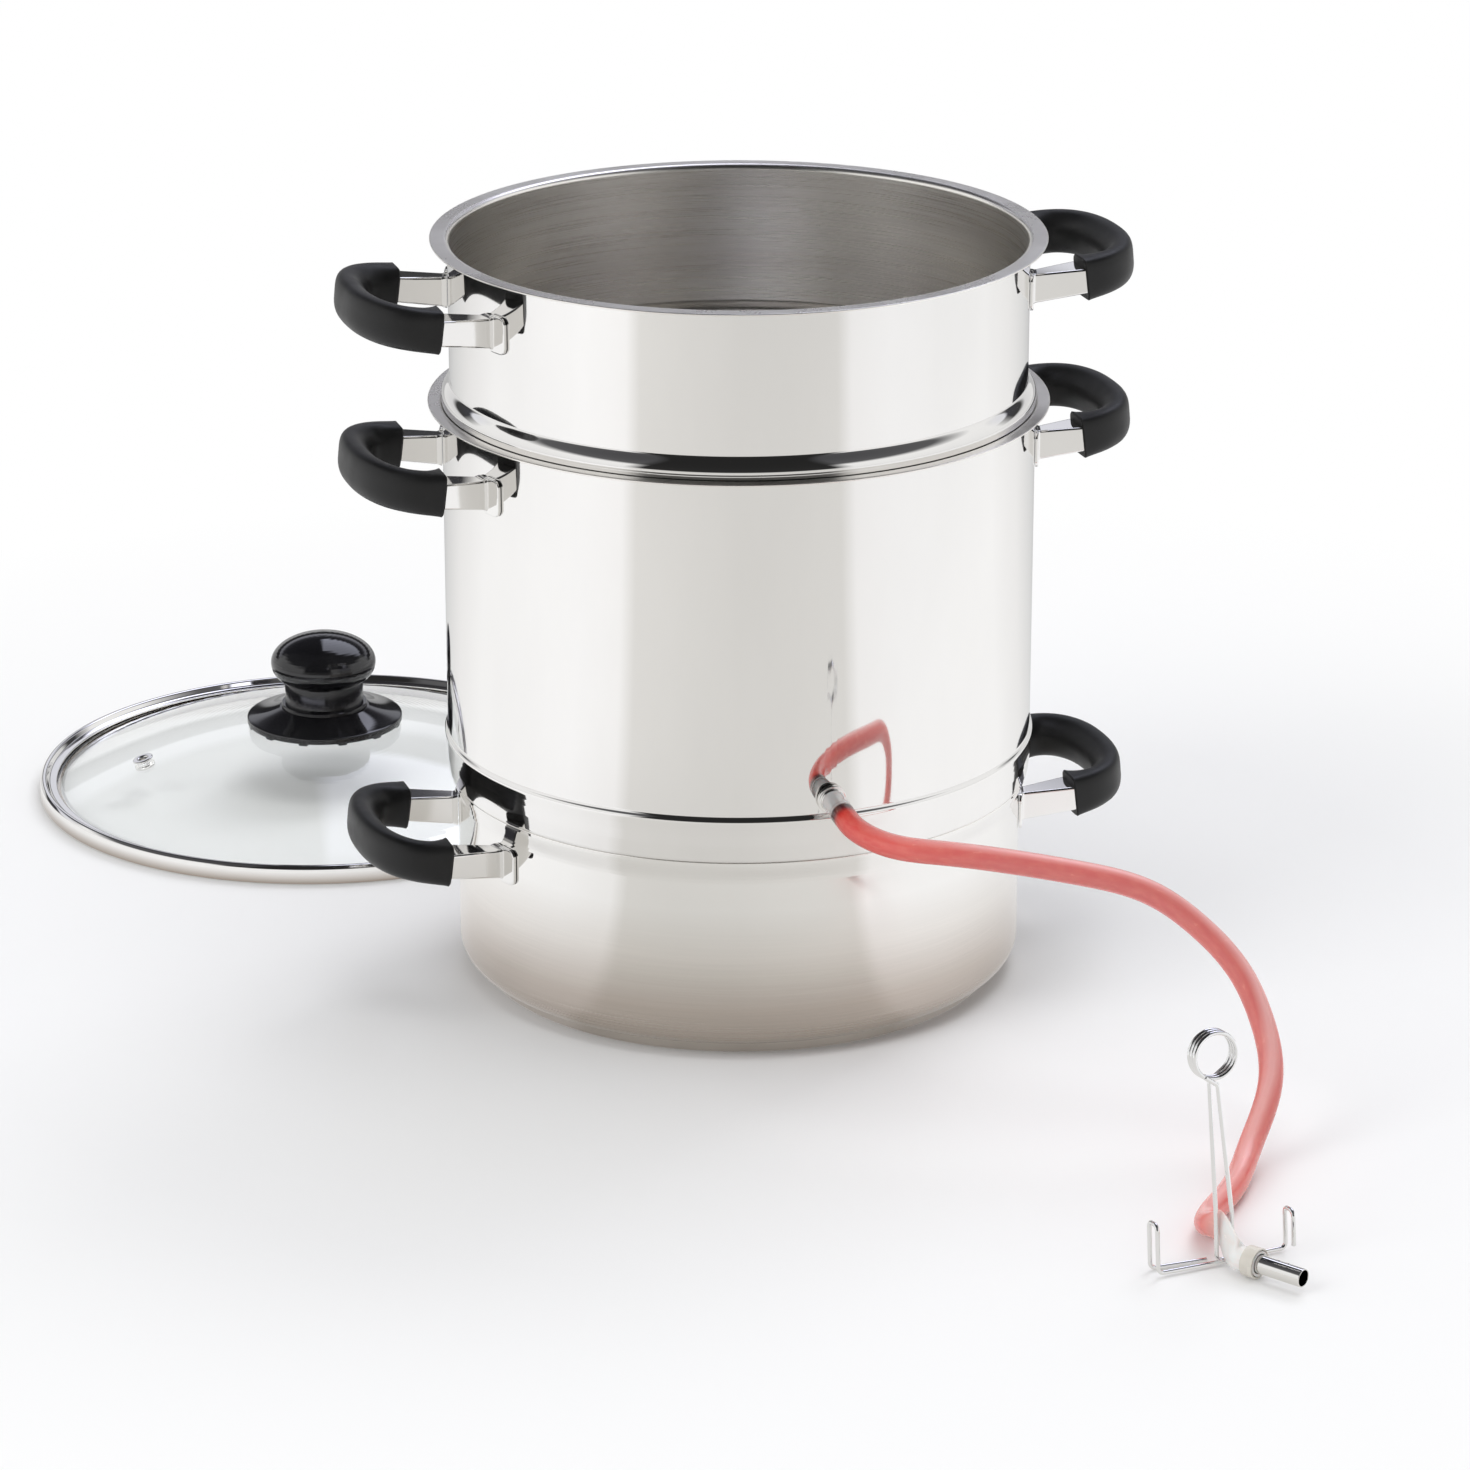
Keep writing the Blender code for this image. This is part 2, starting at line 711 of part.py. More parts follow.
def hose_curve():
    """The free stretch of the hose as a function of its length, with its knots and its two ends."""
    leave = SPOUT_AT + SPOUT_WAY * HOSE_START_STRAIGHT
    end_way = Vector((math.cos(HOSE_END_TURN), math.sin(HOSE_END_TURN), 0))
    arrive = Vector(HOSE_END) - end_way * HOSE_END_STRAIGHT
    point, at = clamped_spline([leave, *HOSE_ROUTE, arrive], SPOUT_WAY, end_way)
    return point, at, leave, arrive


def hose_line():
    """Points along the hose's middle, and each one's distance from the clamp's jaws."""
    begin = SPOUT_AT + SPOUT_WAY * (GAP + FLANGE_THICK + FLANGE_STEP + GAP)
    end = Vector(HOSE_END)
    point, at, leave, arrive = hose_curve()
    pinch = at[1 + PINCH_POINT]
    line = [(begin, pinch), (begin.lerp(leave, 0.5), pinch)]
    distance = 0.0
    while distance < at[-1]:
        line.append((Vector(point(distance)), abs(distance - pinch)))
        near = abs(distance - pinch) < PINCH_REACH + HOSE_SPACING / 2
        distance += PINCH_SPACING if near else HOSE_SPACING
    line += [(arrive, PINCH_REACH), (end, PINCH_REACH)]
    return line


def hose_ring(shape, centre, way, radius, thick, tall, share):
    """One ring of the hose: round where share is 0, and flat where it is 1."""
    across = way.cross(Vector((0, 0, 1))).normalized()
    up = across.cross(way)
    half_across = radius + (thick / 2 - radius) * share
    half_up = radius + (tall / 2 - radius) * share
    ring = []
    for i in range(HOSE_SIDES):
        angle = 2 * math.pi * (i + 0.5) / HOSE_SIDES
        place = centre + across * (half_across * math.cos(angle)) + up * (half_up * math.sin(angle))
        ring.append(shape.verts.new(place))
    return ring


def join_rings(shape, first, second):
    for i in range(HOSE_SIDES):
        j = (i + 1) % HOSE_SIDES
        shape.faces.new((first[i], first[j], second[j], second[i]))


def juice_hose():
    """The hose with its bore, round along its length and pressed flat between the clamp's strands."""
    line = hose_line()
    shape = bmesh.new()
    outer, inner = [], []
    wall = HOSE_R - HOSE_BORE_R
    for i, (centre, from_pinch) in enumerate(line):
        before = line[max(i - 1, 0)][0]
        after = line[min(i + 1, len(line) - 1)][0]
        way = (after - before).normalized()
        blend = min(max((PINCH_REACH - from_pinch) / (PINCH_REACH - PINCH_FLAT), 0), 1)
        share = blend * blend * (3 - 2 * blend)
        outer.append(hose_ring(shape, centre, way, HOSE_R, PINCH_THICK, PINCH_TALL, share))
        bore_tall = PINCH_TALL - 2 * wall
        inner.append(hose_ring(shape, centre, way, HOSE_BORE_R, PINCH_SLIT, bore_tall, share))
    for i in range(len(line) - 1):
        join_rings(shape, outer[i], outer[i + 1])
        join_rings(shape, inner[i + 1], inner[i])
    join_rings(shape, inner[0], outer[0])
    join_rings(shape, outer[-1], inner[-1])
    mesh = mesh_from("juice_hose", shape)
    smooth(mesh)
    add_object("juice_hose", mesh, HOSE_RED)
    length = sum((b[0] - a[0]).length for a, b in zip(line, line[1:]))
    print(f"hose: {len(line)} rings, length {length:.4f} m")


def hose_outlet():
    way = Vector((math.cos(HOSE_END_TURN), math.sin(HOSE_END_TURN), 0))
    matrix = way_matrix(HOSE_END, way)
    collar_bore = (HOSE_R + GAP) / math.cos(math.pi / TUBE_STEPS)
    collar = tube(collar_bore + COLLAR_WALL, collar_bore, -COLLAR_LENGTH, 0)
    turned("hose_collar", collar, COLLAR_CLEAR, TUBE_STEPS, matrix)
    pipe = tube(OUTLET_R, OUTLET_BORE_R, -OUTLET_IN, OUTLET_OUT)
    turned("outlet_tube", pipe, POLISHED, TUBE_STEPS, matrix)


def rounded_path(points, radius, steps):
    """A path with its inner corners rounded by arcs of one radius, or less where the sides are short."""
    path = [Vector(points[0])]
    for before, corner, after in zip(points, points[1:], points[2:]):
        corner = Vector(corner)
        back = Vector(before) - corner
        onward = Vector(after) - corner
        half = back.angle(onward) / 2
        reach = min(radius / math.tan(half), back.length / 2, onward.length / 2)
        bend = reach * math.tan(half)
        middle = corner + (back.normalized() + onward.normalized()).normalized() * (bend / math.sin(half))
        first = corner + back.normalized() * reach - middle
        last = corner + onward.normalized() * reach - middle
        sweep = first.angle(last)
        for i in range(steps + 1):
            share = i / steps
            spoke = first * math.sin((1 - share) * sweep) + last * math.sin(share * sweep)
            path.append(middle + spoke / math.sin(sweep))
    path.append(Vector(points[-1]))
    return path


def coil_points(centre_x):
    """The coil's turns, from the far strand to the near one."""
    sweep = COIL_END - COIL_START + COIL_TURNS * 2 * math.pi
    steps = round(sweep / (2 * math.pi) * CURL_POINTS)
    half = COIL_PITCH * sweep / (4 * math.pi)
    points = []
    for i in range(steps + 1):
        angle = COIL_START + sweep * i / steps
        across = half - 2 * half * i / steps
        points.append(
            Vector((centre_x + COIL_R * math.cos(angle), across, COIL_HEIGHT + COIL_R * math.sin(angle)))
        )
    return points, half


def least_gap(points, radius, apart):
    """The least distance between the surfaces of stretches that lie some points apart along one wire."""
    least = math.inf
    for i, a in enumerate(points):
        for b in points[i + apart :]:
            least = min(least, (a - b).length)
    return least - 2 * radius


def wire(name, points, parent, matrix):
    data = poly_curve(name, points)
    data.bevel_depth = WIRE_R
    data.bevel_resolution = 1
    add_object(name, data, POLISHED, matrix, parent)


def clamp_frame():
    """The clamp stands square to the hose, which runs along its -Y, and leans back a little."""
    point, at, _, _ = hose_curve()
    pinch = at[1 + PINCH_POINT]
    way = point(pinch + PINCH_FLAT) - point(pinch - PINCH_FLAT)
    lift = WIRE_R + GAP + (LOOP_WIDTH - BAR_PASS / 2) * math.sin(CLAMP_LEAN)
    x, y, _ = HOSE_ROUTE[PINCH_POINT]
    turn = Matrix.Rotation(math.atan2(way[0], -way[1]), 4, "Z") @ Matrix.Rotation(-CLAMP_LEAN, 4, "X")
    return add_empty("clamp_frame", Matrix.Translation((x, y, lift)) @ turn)


def hose_clamp():
    """The clamp's wire: the fixed arm carries the coil, and the other arm swings about the coil's middle."""
    frame = clamp_frame()
    coil, half = coil_points(COIL_ASIDE)
    slope = Vector((-math.sin(COIL_START), 0, math.cos(COIL_START)))
    strand_top = STRAND_APART / 2
    run = (coil[0].x - COIL_ASIDE + strand_top) / slope.x
    corner_z = coil[0].z - run * slope.z
    side = BAR_PASS / 2
    fixed = [
        (FAR_REACH, side - LOOP_WIDTH, LOOP_END_H),
        (FAR_REACH, side - LOOP_WIDTH, FAR_LOOP_H),
        (FAR_REACH, side, FAR_LOOP_H),
        (FAR_REACH, side, 0),
        (-STRAND_ASIDE, side, 0),
        (-STRAND_ASIDE, side, STRAND_BEND_H),
        (COIL_ASIDE - strand_top, half, corner_z),
        coil[0],
    ]
    path = rounded_path(fixed, WIRE_BEND, BEND_STEPS)[:-1] + coil
    wire("clamp_fixed_arm", path, frame, None)
    gap = least_gap(coil, WIRE_R, CURL_POINTS // 2)
    print(f"coil: least gap between turns {gap * 1000:.2f} mm, over {COIL_LEAST_GAP * 1000} mm")
    pivot = Vector((COIL_ASIDE, 0, COIL_HEIGHT))
    end_slope = Vector((-math.sin(COIL_END), 0, math.cos(COIL_END)))
    swing = [
        coil[-1] + end_slope * GAP,
        (COIL_ASIDE + strand_top, -half, corner_z),
        (STRAND_ASIDE, -side, STRAND_BEND_H),
        (STRAND_ASIDE, -side, 0),
        (-NEAR_REACH, -side, 0),
        (-NEAR_REACH, -side, NEAR_LOOP_H),
        (-NEAR_REACH, LOOP_WIDTH - side, NEAR_LOOP_H),
        (-NEAR_REACH, LOOP_WIDTH - side, 0),
        (-RETURN_END, RETURN_ASIDE, 0),
    ]
    path = [point - pivot for point in rounded_path(swing, WIRE_BEND, BEND_STEPS)]
    axis = add_empty("clamp_coil_axis", Matrix.Translation(pivot), frame)
    wire("clamp_swing_arm", path, axis, None)
    bpy.context.view_layer.update()
    world = axis.matrix_world
    at = [round(v, 5) for v in world.translation]
    along = [round(-v, 5) for v in world.col[1][:3]]
    print("clamp axis at", at, "along", along)


def lid_matrix():
    return Matrix.Translation((LID_X, LID_Y, 0))


def lid_ring(matrix):
    """The steel channel that grips the glass's flat edge."""
    inside = LID_R - LID_RING_SHEET
    flange_low = GLASS_RIM_Z + GAP
    flange_top = flange_low + LID_RING_SHEET
    outline = [
        (LID_R - LID_RING_EDGE, LID_RING_H),
        (LID_R, LID_RING_H - LID_RING_EDGE),
        (LID_R, 0),
        (LID_R - LID_LOW_FLANGE, 0),
        (LID_R - LID_LOW_FLANGE, LID_RING_SHEET),
        (inside, LID_RING_SHEET),
        (inside, flange_low),
        (LID_R - LID_TOP_FLANGE, flange_low),
        (LID_R - LID_TOP_FLANGE, flange_top),
        (LID_R - 2 * LID_RING_ROLL, flange_top),
        (LID_R - LID_RING_ROLL - LID_RING_EDGE / 2, LID_RING_H),
    ]
    turned("lid_ring", outline, POLISHED, POT_STEPS, matrix)


def glass_z(radius):
    """Height of the glass's upper face: a shallow dome inside the flat edge."""
    share = min(radius / (GLASS_R - GLASS_FLAT), 1)
    return GLASS_RIM_Z + GLASS_RISE * (1 - share**2)


def vent_place():
    """Where the vent's sleeve stands: on the glass, square to its slope."""
    dome_r = GLASS_R - GLASS_FLAT
    slope = 2 * GLASS_RISE * VENT_AT / dome_r**2
    lean = Matrix.Rotation(math.atan(slope), 4, "Y")
    return (
        Matrix.Rotation(VENT_ANGLE, 4, "Z")
        @ Matrix.Translation((VENT_AT, 0, glass_z(VENT_AT)))
        @ lean
    )


def lid_glass(matrix):
    dome_r = GLASS_R - GLASS_FLAT
    top = [(share * dome_r, glass_z(share * dome_r)) for share in GLASS_POINT_SHARES]
    top = [(GLASS_R, GLASS_RIM_Z)] + top
    top.append((GLASS_HOLE_R, glass_z(0)))
    outline = [(r, z - GLASS_THICK) for r, z in top]
    glass = turned("lid_glass", top[::-1] + outline, GLASS, POT_STEPS, matrix)
    reach = GLASS_THICK * 2
    hole = turned_helper("vent_hole", rod(VENT_R + GAP, -reach, reach), TUBE_STEPS, matrix @ vent_place())
    boolean(glass, hole)


def lid_vent(matrix):
    """A steel eyelet through the glass, flanged over both faces."""
    low = -GLASS_THICK - GAP
    outline = [
        (VENT_FLANGE_R, GAP * 2),
        (VENT_R, GAP * 2),
        (VENT_R, low),
        (VENT_FLANGE_R, low),
        (VENT_FLANGE_R, low - VENT_FLANGE),
        (VENT_BORE_R, low - VENT_FLANGE),
        (VENT_BORE_R, GAP * 2 + VENT_FLANGE),
        (VENT_FLANGE_R, GAP * 2 + VENT_FLANGE),
    ]
    turned("lid_vent", outline, POLISHED, TUBE_STEPS, matrix @ vent_place())


def knob_skirt(matrix):
    """The dished disc under the knob, with small feet at its edge."""
    low = GLASS_TOP_Z + GAP
    top = low + SKIRT_H
    edge = glass_z(SKIRT_R - SKIRT_FOOT) + GAP + SKIRT_FOOT_H
    outline = [
        (SKIRT_TOP_R, top),
        (SKIRT_R, edge + SKIRT_EDGE),
        (SKIRT_R, edge),
        (SKIRT_TOP_R, top - SKIRT_HOLLOW),
        (SKIRT_HUB_R, top - SKIRT_HOLLOW),
        (SKIRT_HUB_R, low),
        (SCREW_R + GAP, low),
        (SCREW_R + GAP, top),
    ]
    skirt = turned("lid_knob_skirt", outline, BLACK_GLOSS, SMALL_STEPS, matrix)
    foot_height = SKIRT_FOOT_H + SKIRT_FOOT_SINK
    shape = bmesh.new()
    for i in range(SKIRT_FEET):
        place = Matrix.Rotation(2 * math.pi * i / SKIRT_FEET, 4, "Z")
        middle = edge + SKIRT_FOOT_SINK - foot_height / 2
        centre = Matrix.Translation((SKIRT_R - SKIRT_FOOT / 2 - GAP, 0, middle))
        size = Matrix.Diagonal((SKIRT_FOOT, SKIRT_FOOT, foot_height, 1))
        bmesh.ops.create_cube(shape, size=1, matrix=place @ centre @ size)
    feet = add_helper("skirt_feet", mesh_from("skirt_feet", shape), matrix)
    boolean(skirt, feet, "UNION")


def lid_knob(matrix):
    low = GLASS_TOP_Z + GAP + SKIRT_H + GAP
    neck_top = low + KNOB_NECK_H
    widest = neck_top + KNOB_UNDER_H
    outline = [(0, widest + KNOB_DOME_H)]
    for i in range(1, KNOB_DOME_POINTS + 1):
        angle = math.pi / 2 * (1 - i / KNOB_DOME_POINTS)
        outline.append((KNOB_R * math.cos(angle), widest + KNOB_DOME_H * math.sin(angle)))
    outline += [
        ((KNOB_R + KNOB_NECK_R) / 2, neck_top + KNOB_UNDER_H * KNOB_UNDER_SHARE),
        (KNOB_NECK_R, neck_top),
        (KNOB_NECK_R, low + KNOB_COLLAR_H),
        (KNOB_COLLAR_R, low + KNOB_COLLAR_H),
        (KNOB_COLLAR_R, low),
        (SCREW_R + GAP, low),
        (SCREW_R + GAP, GLASS_TOP_Z + SCREW_UP + GAP),
        (0, GLASS_TOP_Z + SCREW_UP + GAP),
    ]
    turned("lid_knob", outline, BLACK_GLOSS, SMALL_STEPS, matrix)


def knob_screw(matrix):
    """The screw up through glass and skirt into the knob, with a soft washer under the glass."""
    under = GLASS_TOP_Z - GLASS_THICK - GAP
    washer = tube(WASHER_R, SCREW_R + GAP, under - WASHER_THICK, under)
    turned("lid_washer", washer, RUBBER, SMALL_STEPS, matrix)
    head = under - WASHER_THICK - GAP
    outline = [
        (0, GLASS_TOP_Z + SCREW_UP),
        (SCREW_R, GLASS_TOP_Z + SCREW_UP),
        (SCREW_R, head),
        (SCREW_HEAD_R, head),
        (SCREW_HEAD_R, head - SCREW_HEAD_H / 2),
        (SCREW_R, head - SCREW_HEAD_H),
        (0, head - SCREW_HEAD_H),
    ]
    turned("lid_knob_screw", outline, BRUSHED, TUBE_STEPS, matrix)


def lid():
    matrix = lid_matrix()
    lid_ring(matrix)
    lid_glass(matrix)
    lid_vent(matrix)
    knob_skirt(matrix)
    lid_knob(matrix)
    knob_screw(matrix)


clear_scene()
PARTS = new_collection("steam_juicer")
HELPERS = new_collection("helpers", hidden=True)
water_pot()
juice_kettle()
fruit_basket()
SECTION = grip_section()
handles("water_pot", WATER_R, WATER_H - WATER_HANDLE_DROP, SECTION)
handles("kettle", KETTLE_R, KETTLE_TOP_Z - KETTLE_HANDLE_DROP, SECTION)
handles("basket", BASKET_R, BASKET_TOP_Z - BASKET_HANDLE_DROP, SECTION)
juice_spout()
juice_hose()
hose_outlet()
hose_clamp()
lid()
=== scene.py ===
"""Looks of the steam juicer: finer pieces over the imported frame, their materials, the light and the camera.

Metres, +Z up, in the frame's own axes: the spout faces -Y and the handles lie on X.
"""

import math

import bmesh
import bpy
import numpy as np
from mathutils import Matrix, Vector


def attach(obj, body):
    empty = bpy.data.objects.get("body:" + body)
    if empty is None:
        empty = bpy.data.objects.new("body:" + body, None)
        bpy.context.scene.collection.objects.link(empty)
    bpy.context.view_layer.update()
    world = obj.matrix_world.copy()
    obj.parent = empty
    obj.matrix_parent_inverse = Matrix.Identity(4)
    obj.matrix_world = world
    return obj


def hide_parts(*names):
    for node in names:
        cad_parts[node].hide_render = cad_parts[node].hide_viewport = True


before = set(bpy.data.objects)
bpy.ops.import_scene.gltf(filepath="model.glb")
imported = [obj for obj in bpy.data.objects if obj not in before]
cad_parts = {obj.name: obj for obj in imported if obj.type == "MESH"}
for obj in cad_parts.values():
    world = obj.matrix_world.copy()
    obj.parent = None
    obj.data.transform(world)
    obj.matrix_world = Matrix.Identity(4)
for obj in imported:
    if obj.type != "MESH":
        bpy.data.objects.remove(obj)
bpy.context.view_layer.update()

# Camera: where it stands, how far it looks down, and its lens on a 36 mm sensor
EYE = (-0.7233, -2.2884, 0.9627)
LOOK_DOWN = math.radians(19.58)
LOOK_TURN = math.radians(-17.5)
LENS = 134.5

# Fineness of the turned pieces, how their corners are softened, and the play between pieces
POT_STEPS = 288
CHIMNEY_STEPS = 192
KNOB_STEPS = 144
SMALL_STEPS = 96
TUBE_STEPS = 48
VENT_HOLE_STEPS = 32
STRAINER_HOLE_STEPS = 12
SMOOTH_ANGLE = math.radians(35)
SOFTEN_LEAST = math.radians(12)
SOFTEN_SHARE = 0.45
SUPPORT_LEAST = 0.0012
SUPPORT_AT = 0.0003
SUPPORT_SHARE = 0.1
ON_AXIS = 0.000001
GAP = 0.0003
OVERRUN = 0.003

# Floor and light
FLOOR_R = 6.0
FLOOR_STEPS = 96
FLOOR_TONE = (0.88, 0.88, 0.88)
FLOOR_MIRRORED = (0.55, 0.55, 0.55)
FLOOR_GLOW = 0.50
WHITE = (1, 1, 1)
WHITE_AT = (0.36, 0.75)
AMBIENT = 0.88
ROOM_SHARE = 0.5
FRONT_WALL_AT = (0.205, 0.245)
BACK_WALL_AT = (0.66, 0.73)
WINDOW_LOW_AT = (0.56, 0.60)
WINDOW_TOP_AT = (0.91, 0.95)
WINDOW_SIDE_AT = (-0.12, -0.06)
WINDOW_TONE = (1.9, 1.95, 2.3)
LAMPS = (
    ("lamp_left", (-2.2, -0.9, 1.7), (1.4, 1.8), 24),
    ("lamp_right", (1.5, 1.3, 2.2), (1.2, 1.2), 17),
    ("lamp_top", (0.2, -0.4, 2.9), (1.8, 1.8), 21),
)
LAMP_TARGET = (0, -0.05, 0.1)

# Sizes of the pots, as in the frame
SHEET = 0.0009
LIP_FILLET = 0.0025
WATER_R = 0.1303
WATER_H = 0.0963
WATER_FLARE = 0.0032
WATER_FLARE_H = 0.011
WATER_CORNER = 0.0105
WATER_CORNER_STEPS = 14
BASE_R = 0.1193
BASE_THICK = 0.005
BASE_LAND = 0.022
BASE_MIDDLE_R = 0.0355
BASE_RECESS = 0.0003
BASE_STEP = 0.0005
BASE_ROUND = 0.0011
RIM_ROUND = 0.00038
RIM_STEPS = 6
FLARE_STEPS = 6
KETTLE_R = 0.1346
KETTLE_H = 0.1765
KETTLE_LIP = 0.0065
KETTLE_NEST = 0.0106
KETTLE_CORNER = 0.006
KETTLE_CORNER_STEPS = 10
NEST_PLAY = 0.0008
RIM_COVER = 0.0005
BAND_H = 0.0197
BAND_OUT = 0.0013
BAND_LINE_H = 0.0022
BAND_LINE = ((0, 1), (0.12, 0.72), (0.5, 0.4), (0.88, 0.12))
BAND_WALL = ((0.72, 0.81), (0.5, 0.65), (0.28, 0.4))
BAND_EDGE = ((1, 0.0004), (0.97, 0.0012))
SHOULDER_EDGE = ((0.0002, 0.0012), (0, 0.0003), (-0.0003, 0))
FLOOR_RISE = 0.007
STEAM_HOLE_R = 0.050
CHIMNEY_FOOT_R = 0.056
CHIMNEY_FLANGE = 0.007
CHIMNEY_TOP_R = 0.030
CHIMNEY_H = 0.075
CHIMNEY_LIP = 0.0025
CHIMNEY_ROUND = 0.0016
BASKET_R = 0.1311
BASKET_ABOVE = 0.0752
BASKET_DEPTH = 0.1523
BASKET_LIP = 0.0079
BASKET_CORNER = 0.012
BASKET_CORNER_STEPS = 12
BASKET_PLAY = 0.0047
BEAD_OUT = 0.0039
BEAD_H = 0.0097
BEAD_STEPS = 12
BEAD_POWER = 1.15
BEAD_FALL = 0.73
BEAD_END = (0.97, 0.2)
SEAT_RUN = 0.001
NEST_DROP = 0.0105
STRAINER_RING = 0.0095
STRAINER_RINGS = 10
STRAINER_PER_RING = 6
STRAINER_HOLE_R = 0.0016

# Handles
HANDLE_DROPS = {"water_pot": 0.022, "kettle": 0.024, "basket": 0.0255}
HANDLE_TILT = math.radians(7)
GRIP_X = 0.150
ARM_SPREAD = 0.039
ARM_ROOT = (0.0085, 0.0137, 0.0372)
ARM_END = (0.0155, 0.0115, 0.0390)
ARM_CROWN = math.tan(math.radians(1))
ARM_CORNER = 0.0009
BOX_SIDE_SHARE = 0.3
ARM_SHORT = 0.0002
ARM_FOOT = ((0.0, 0.0006), (0.0004, 0.0003), (0.0008, 0.0001), (0.0013, 0.0), (0.002, 0.0))
ARM_FOOT_BITE = 0.9
PLATE_CORNER_STEPS = 8
BOX_CORNER_STEPS = 4
PLATE_OUTWARD = 0.004
PLATE_THICK = 0.0014
PLATE_SIZES = (0.0065, 0.0085, 0.0036)
PLATE_LAYERS = ((0.0, 0.0), (0.6, 0.0), (0.8, 0.00012), (0.94, 0.0004), (1.0, 0.0009), (1.0, 0.0012))
GRIP_DEPTH = 0.0275
GRIP_STRAIGHT = 0.004
GRIP_THICK = 0.015
GRIP_HEIGHT = 0.0195
GRIP_STEPS = 56
GRIP_SIDES = 40
GRIP_BOW = 0.85
GRIP_SQUARE_RUN = 0.016
GRIP_SQUARE_FADE = 1.5
GRIP_SQUARE_OUT = 0.0012
GRIP_DRAWN_IN = 0.0004
GRIP_POWER = 0.78
GRIP_SQUARE_POWER = 0.48
GRIP_RIDGE = 0.0022
GRIP_SINK = 0.0016
GRIP_EDGE = 0.0006
GRIP_END_SHARE = 0.94

# Spout and hose
SPOUT_DIP = math.radians(6)
SPOUT_R = 0.00395
SPOUT_BORE_R = 0.003
SPOUT_LENGTH = 0.024
SPOUT_INSIDE = 0.005
SPOUT_TIP = ((0, 0.0002), (0.0004, 0), (0.004, 0.0002), (0.0045, 0))
SPOUT_ROUND = 0.0005
FLANGE_R = 0.0066
FLANGE_THICK = 0.0022
FLANGE_FOOT = 0.0006
FLANGE_STEP_R = 0.0054
FLANGE_STEP = 0.0016
HOSE_R = 0.0054
HOSE_BORE_R = 0.0044
HOSE_START_STRAIGHT = 0.0245
HOSE_END_STRAIGHT = 0.0095
HOSE_START_STEPS = 8
HOSE_END_STEPS = 4
HOSE_ROUTE = (
    (0.0131, -0.1902, 0.1203), (0.0276, -0.2011, 0.1203), (0.0550, -0.2139, 0.1178),
    (0.0833, -0.2244, 0.1130), (0.1117, -0.2356, 0.1048), (0.1315, -0.2448, 0.0900),
    (0.1457, -0.2564, 0.0722), (0.1521, -0.2670, 0.0535), (0.1501, -0.2840, 0.0325),
    (0.1348, -0.3017, 0.0130), (0.1151, -0.3290, 0.0060), (0.0974, -0.3494, 0.0060),
    (0.0884, -0.3655, 0.0088), (0.0873, -0.3875, 0.0132),
)
HOSE_END = (0.0953, -0.4053, 0.0069)
HOSE_END_TURN = math.radians(-57)
PINCH_POINT = 13
PINCH_THICK = 0.0025
PINCH_TALL = 0.016
PINCH_SLIT = 0.0005
PINCH_FLAT = 0.0042
PINCH_REACH = 0.0125
PINCH_BOW = 0.0005
HOSE_SIDES = 32
HOSE_SPACING = 0.002
COLLAR_LENGTH = 0.006
COLLAR_WALL = 0.0007
COLLAR_ROUND = 0.0003
COLLAR_SIDES = 16
OUTLET_R = 0.00395
OUTLET_BORE_R = 0.0034
OUTLET_OUT = 0.0215
OUTLET_IN = 0.0075
OUTLET_ROUND = 0.00025

# Clamp
WIRE_R = 0.00095
WIRE_SIDES = 20
WIRE_END = 0.3
WIRE_END_SHARE = 0.7
WIRE_LEAST_STEP = 0.00005
CLAMP_LEAN = math.radians(6)
COIL_R = 0.0098
COIL_PITCH = 0.00235
COIL_TURNS = 2
COIL_START = math.radians(-55)
COIL_END = math.radians(235)
COIL_HEIGHT = 0.089
COIL_ASIDE = -0.0035
CURL_POINTS = 48
COIL_END_SHARE = 0.2
STRAND_APART = 0.0004
STRAND_BEND_H = 0.021
BAR_PASS = 0.0025
NEAR_REACH = 0.0312
FAR_REACH = 0.0290
LOOP_WIDTH = 0.0073
NEAR_LOOP_H = 0.0205
FAR_LOOP_H = 0.018
LOOP_END_H = 0.003
RETURN_END = 0.006
RETURN_ASIDE = 0.0042
WIRE_BEND = 0.0025
BEND_STEPS = 9

# Lid
LID_X = -0.1300
LID_Y = 0.2870
LID_R = 0.145
LID_RING_SHEET = 0.0009
LID_RING_H = 0.0092
LID_RING_EDGE = 0.0014
LID_RING_ROLL = 0.0024
LID_TOP_FLANGE = 0.0085
LID_LOW_FLANGE = 0.0105
LID_RING_ROUND = 0.0011
GLASS_THICK = 0.0041
GLASS_RISE = 0.0297
GLASS_FLAT = 0.0095
GLASS_STEPS = 44
GLASS_ROUND = 0.006
GLASS_ROUND_STEPS = 14
GLASS_LEAST = math.radians(3)
GLASS_HOLE_R = 0.0033
VENT_AT = 0.0935
VENT_ANGLE = math.radians(178)
VENT_R = 0.0032
VENT_BORE_R = 0.0021
VENT_FLANGE_R = 0.0052
VENT_FLANGE = 0.0012
VENT_ROUND = 0.0011
SKIRT_R = 0.0393
SKIRT_H = 0.0068
SKIRT_EDGE = 0.0022
SKIRT_DROP = 0.0014
SKIRT_TOP_R = 0.0225
SKIRT_HUB_R = 0.010
SKIRT_HOLLOW = 0.0028
SKIRT_SAG = 0.0006
SKIRT_SAG_STEPS = 10
SKIRT_ROUND = 0.0009
SKIRT_FEET = 12
SKIRT_FOOT = 0.0028
SKIRT_FOOT_H = 0.0020
SKIRT_FOOT_WIDTH = 1.6
SKIRT_FOOT_ROUND = 0.0003
SKIRT_FOOT_SINK = 0.0011
KNOB_R = 0.0265
KNOB_NECK_R = 0.0198
KNOB_COLLAR_R = 0.0217
KNOB_COLLAR_H = 0.0018
KNOB_NECK_H = 0.0145
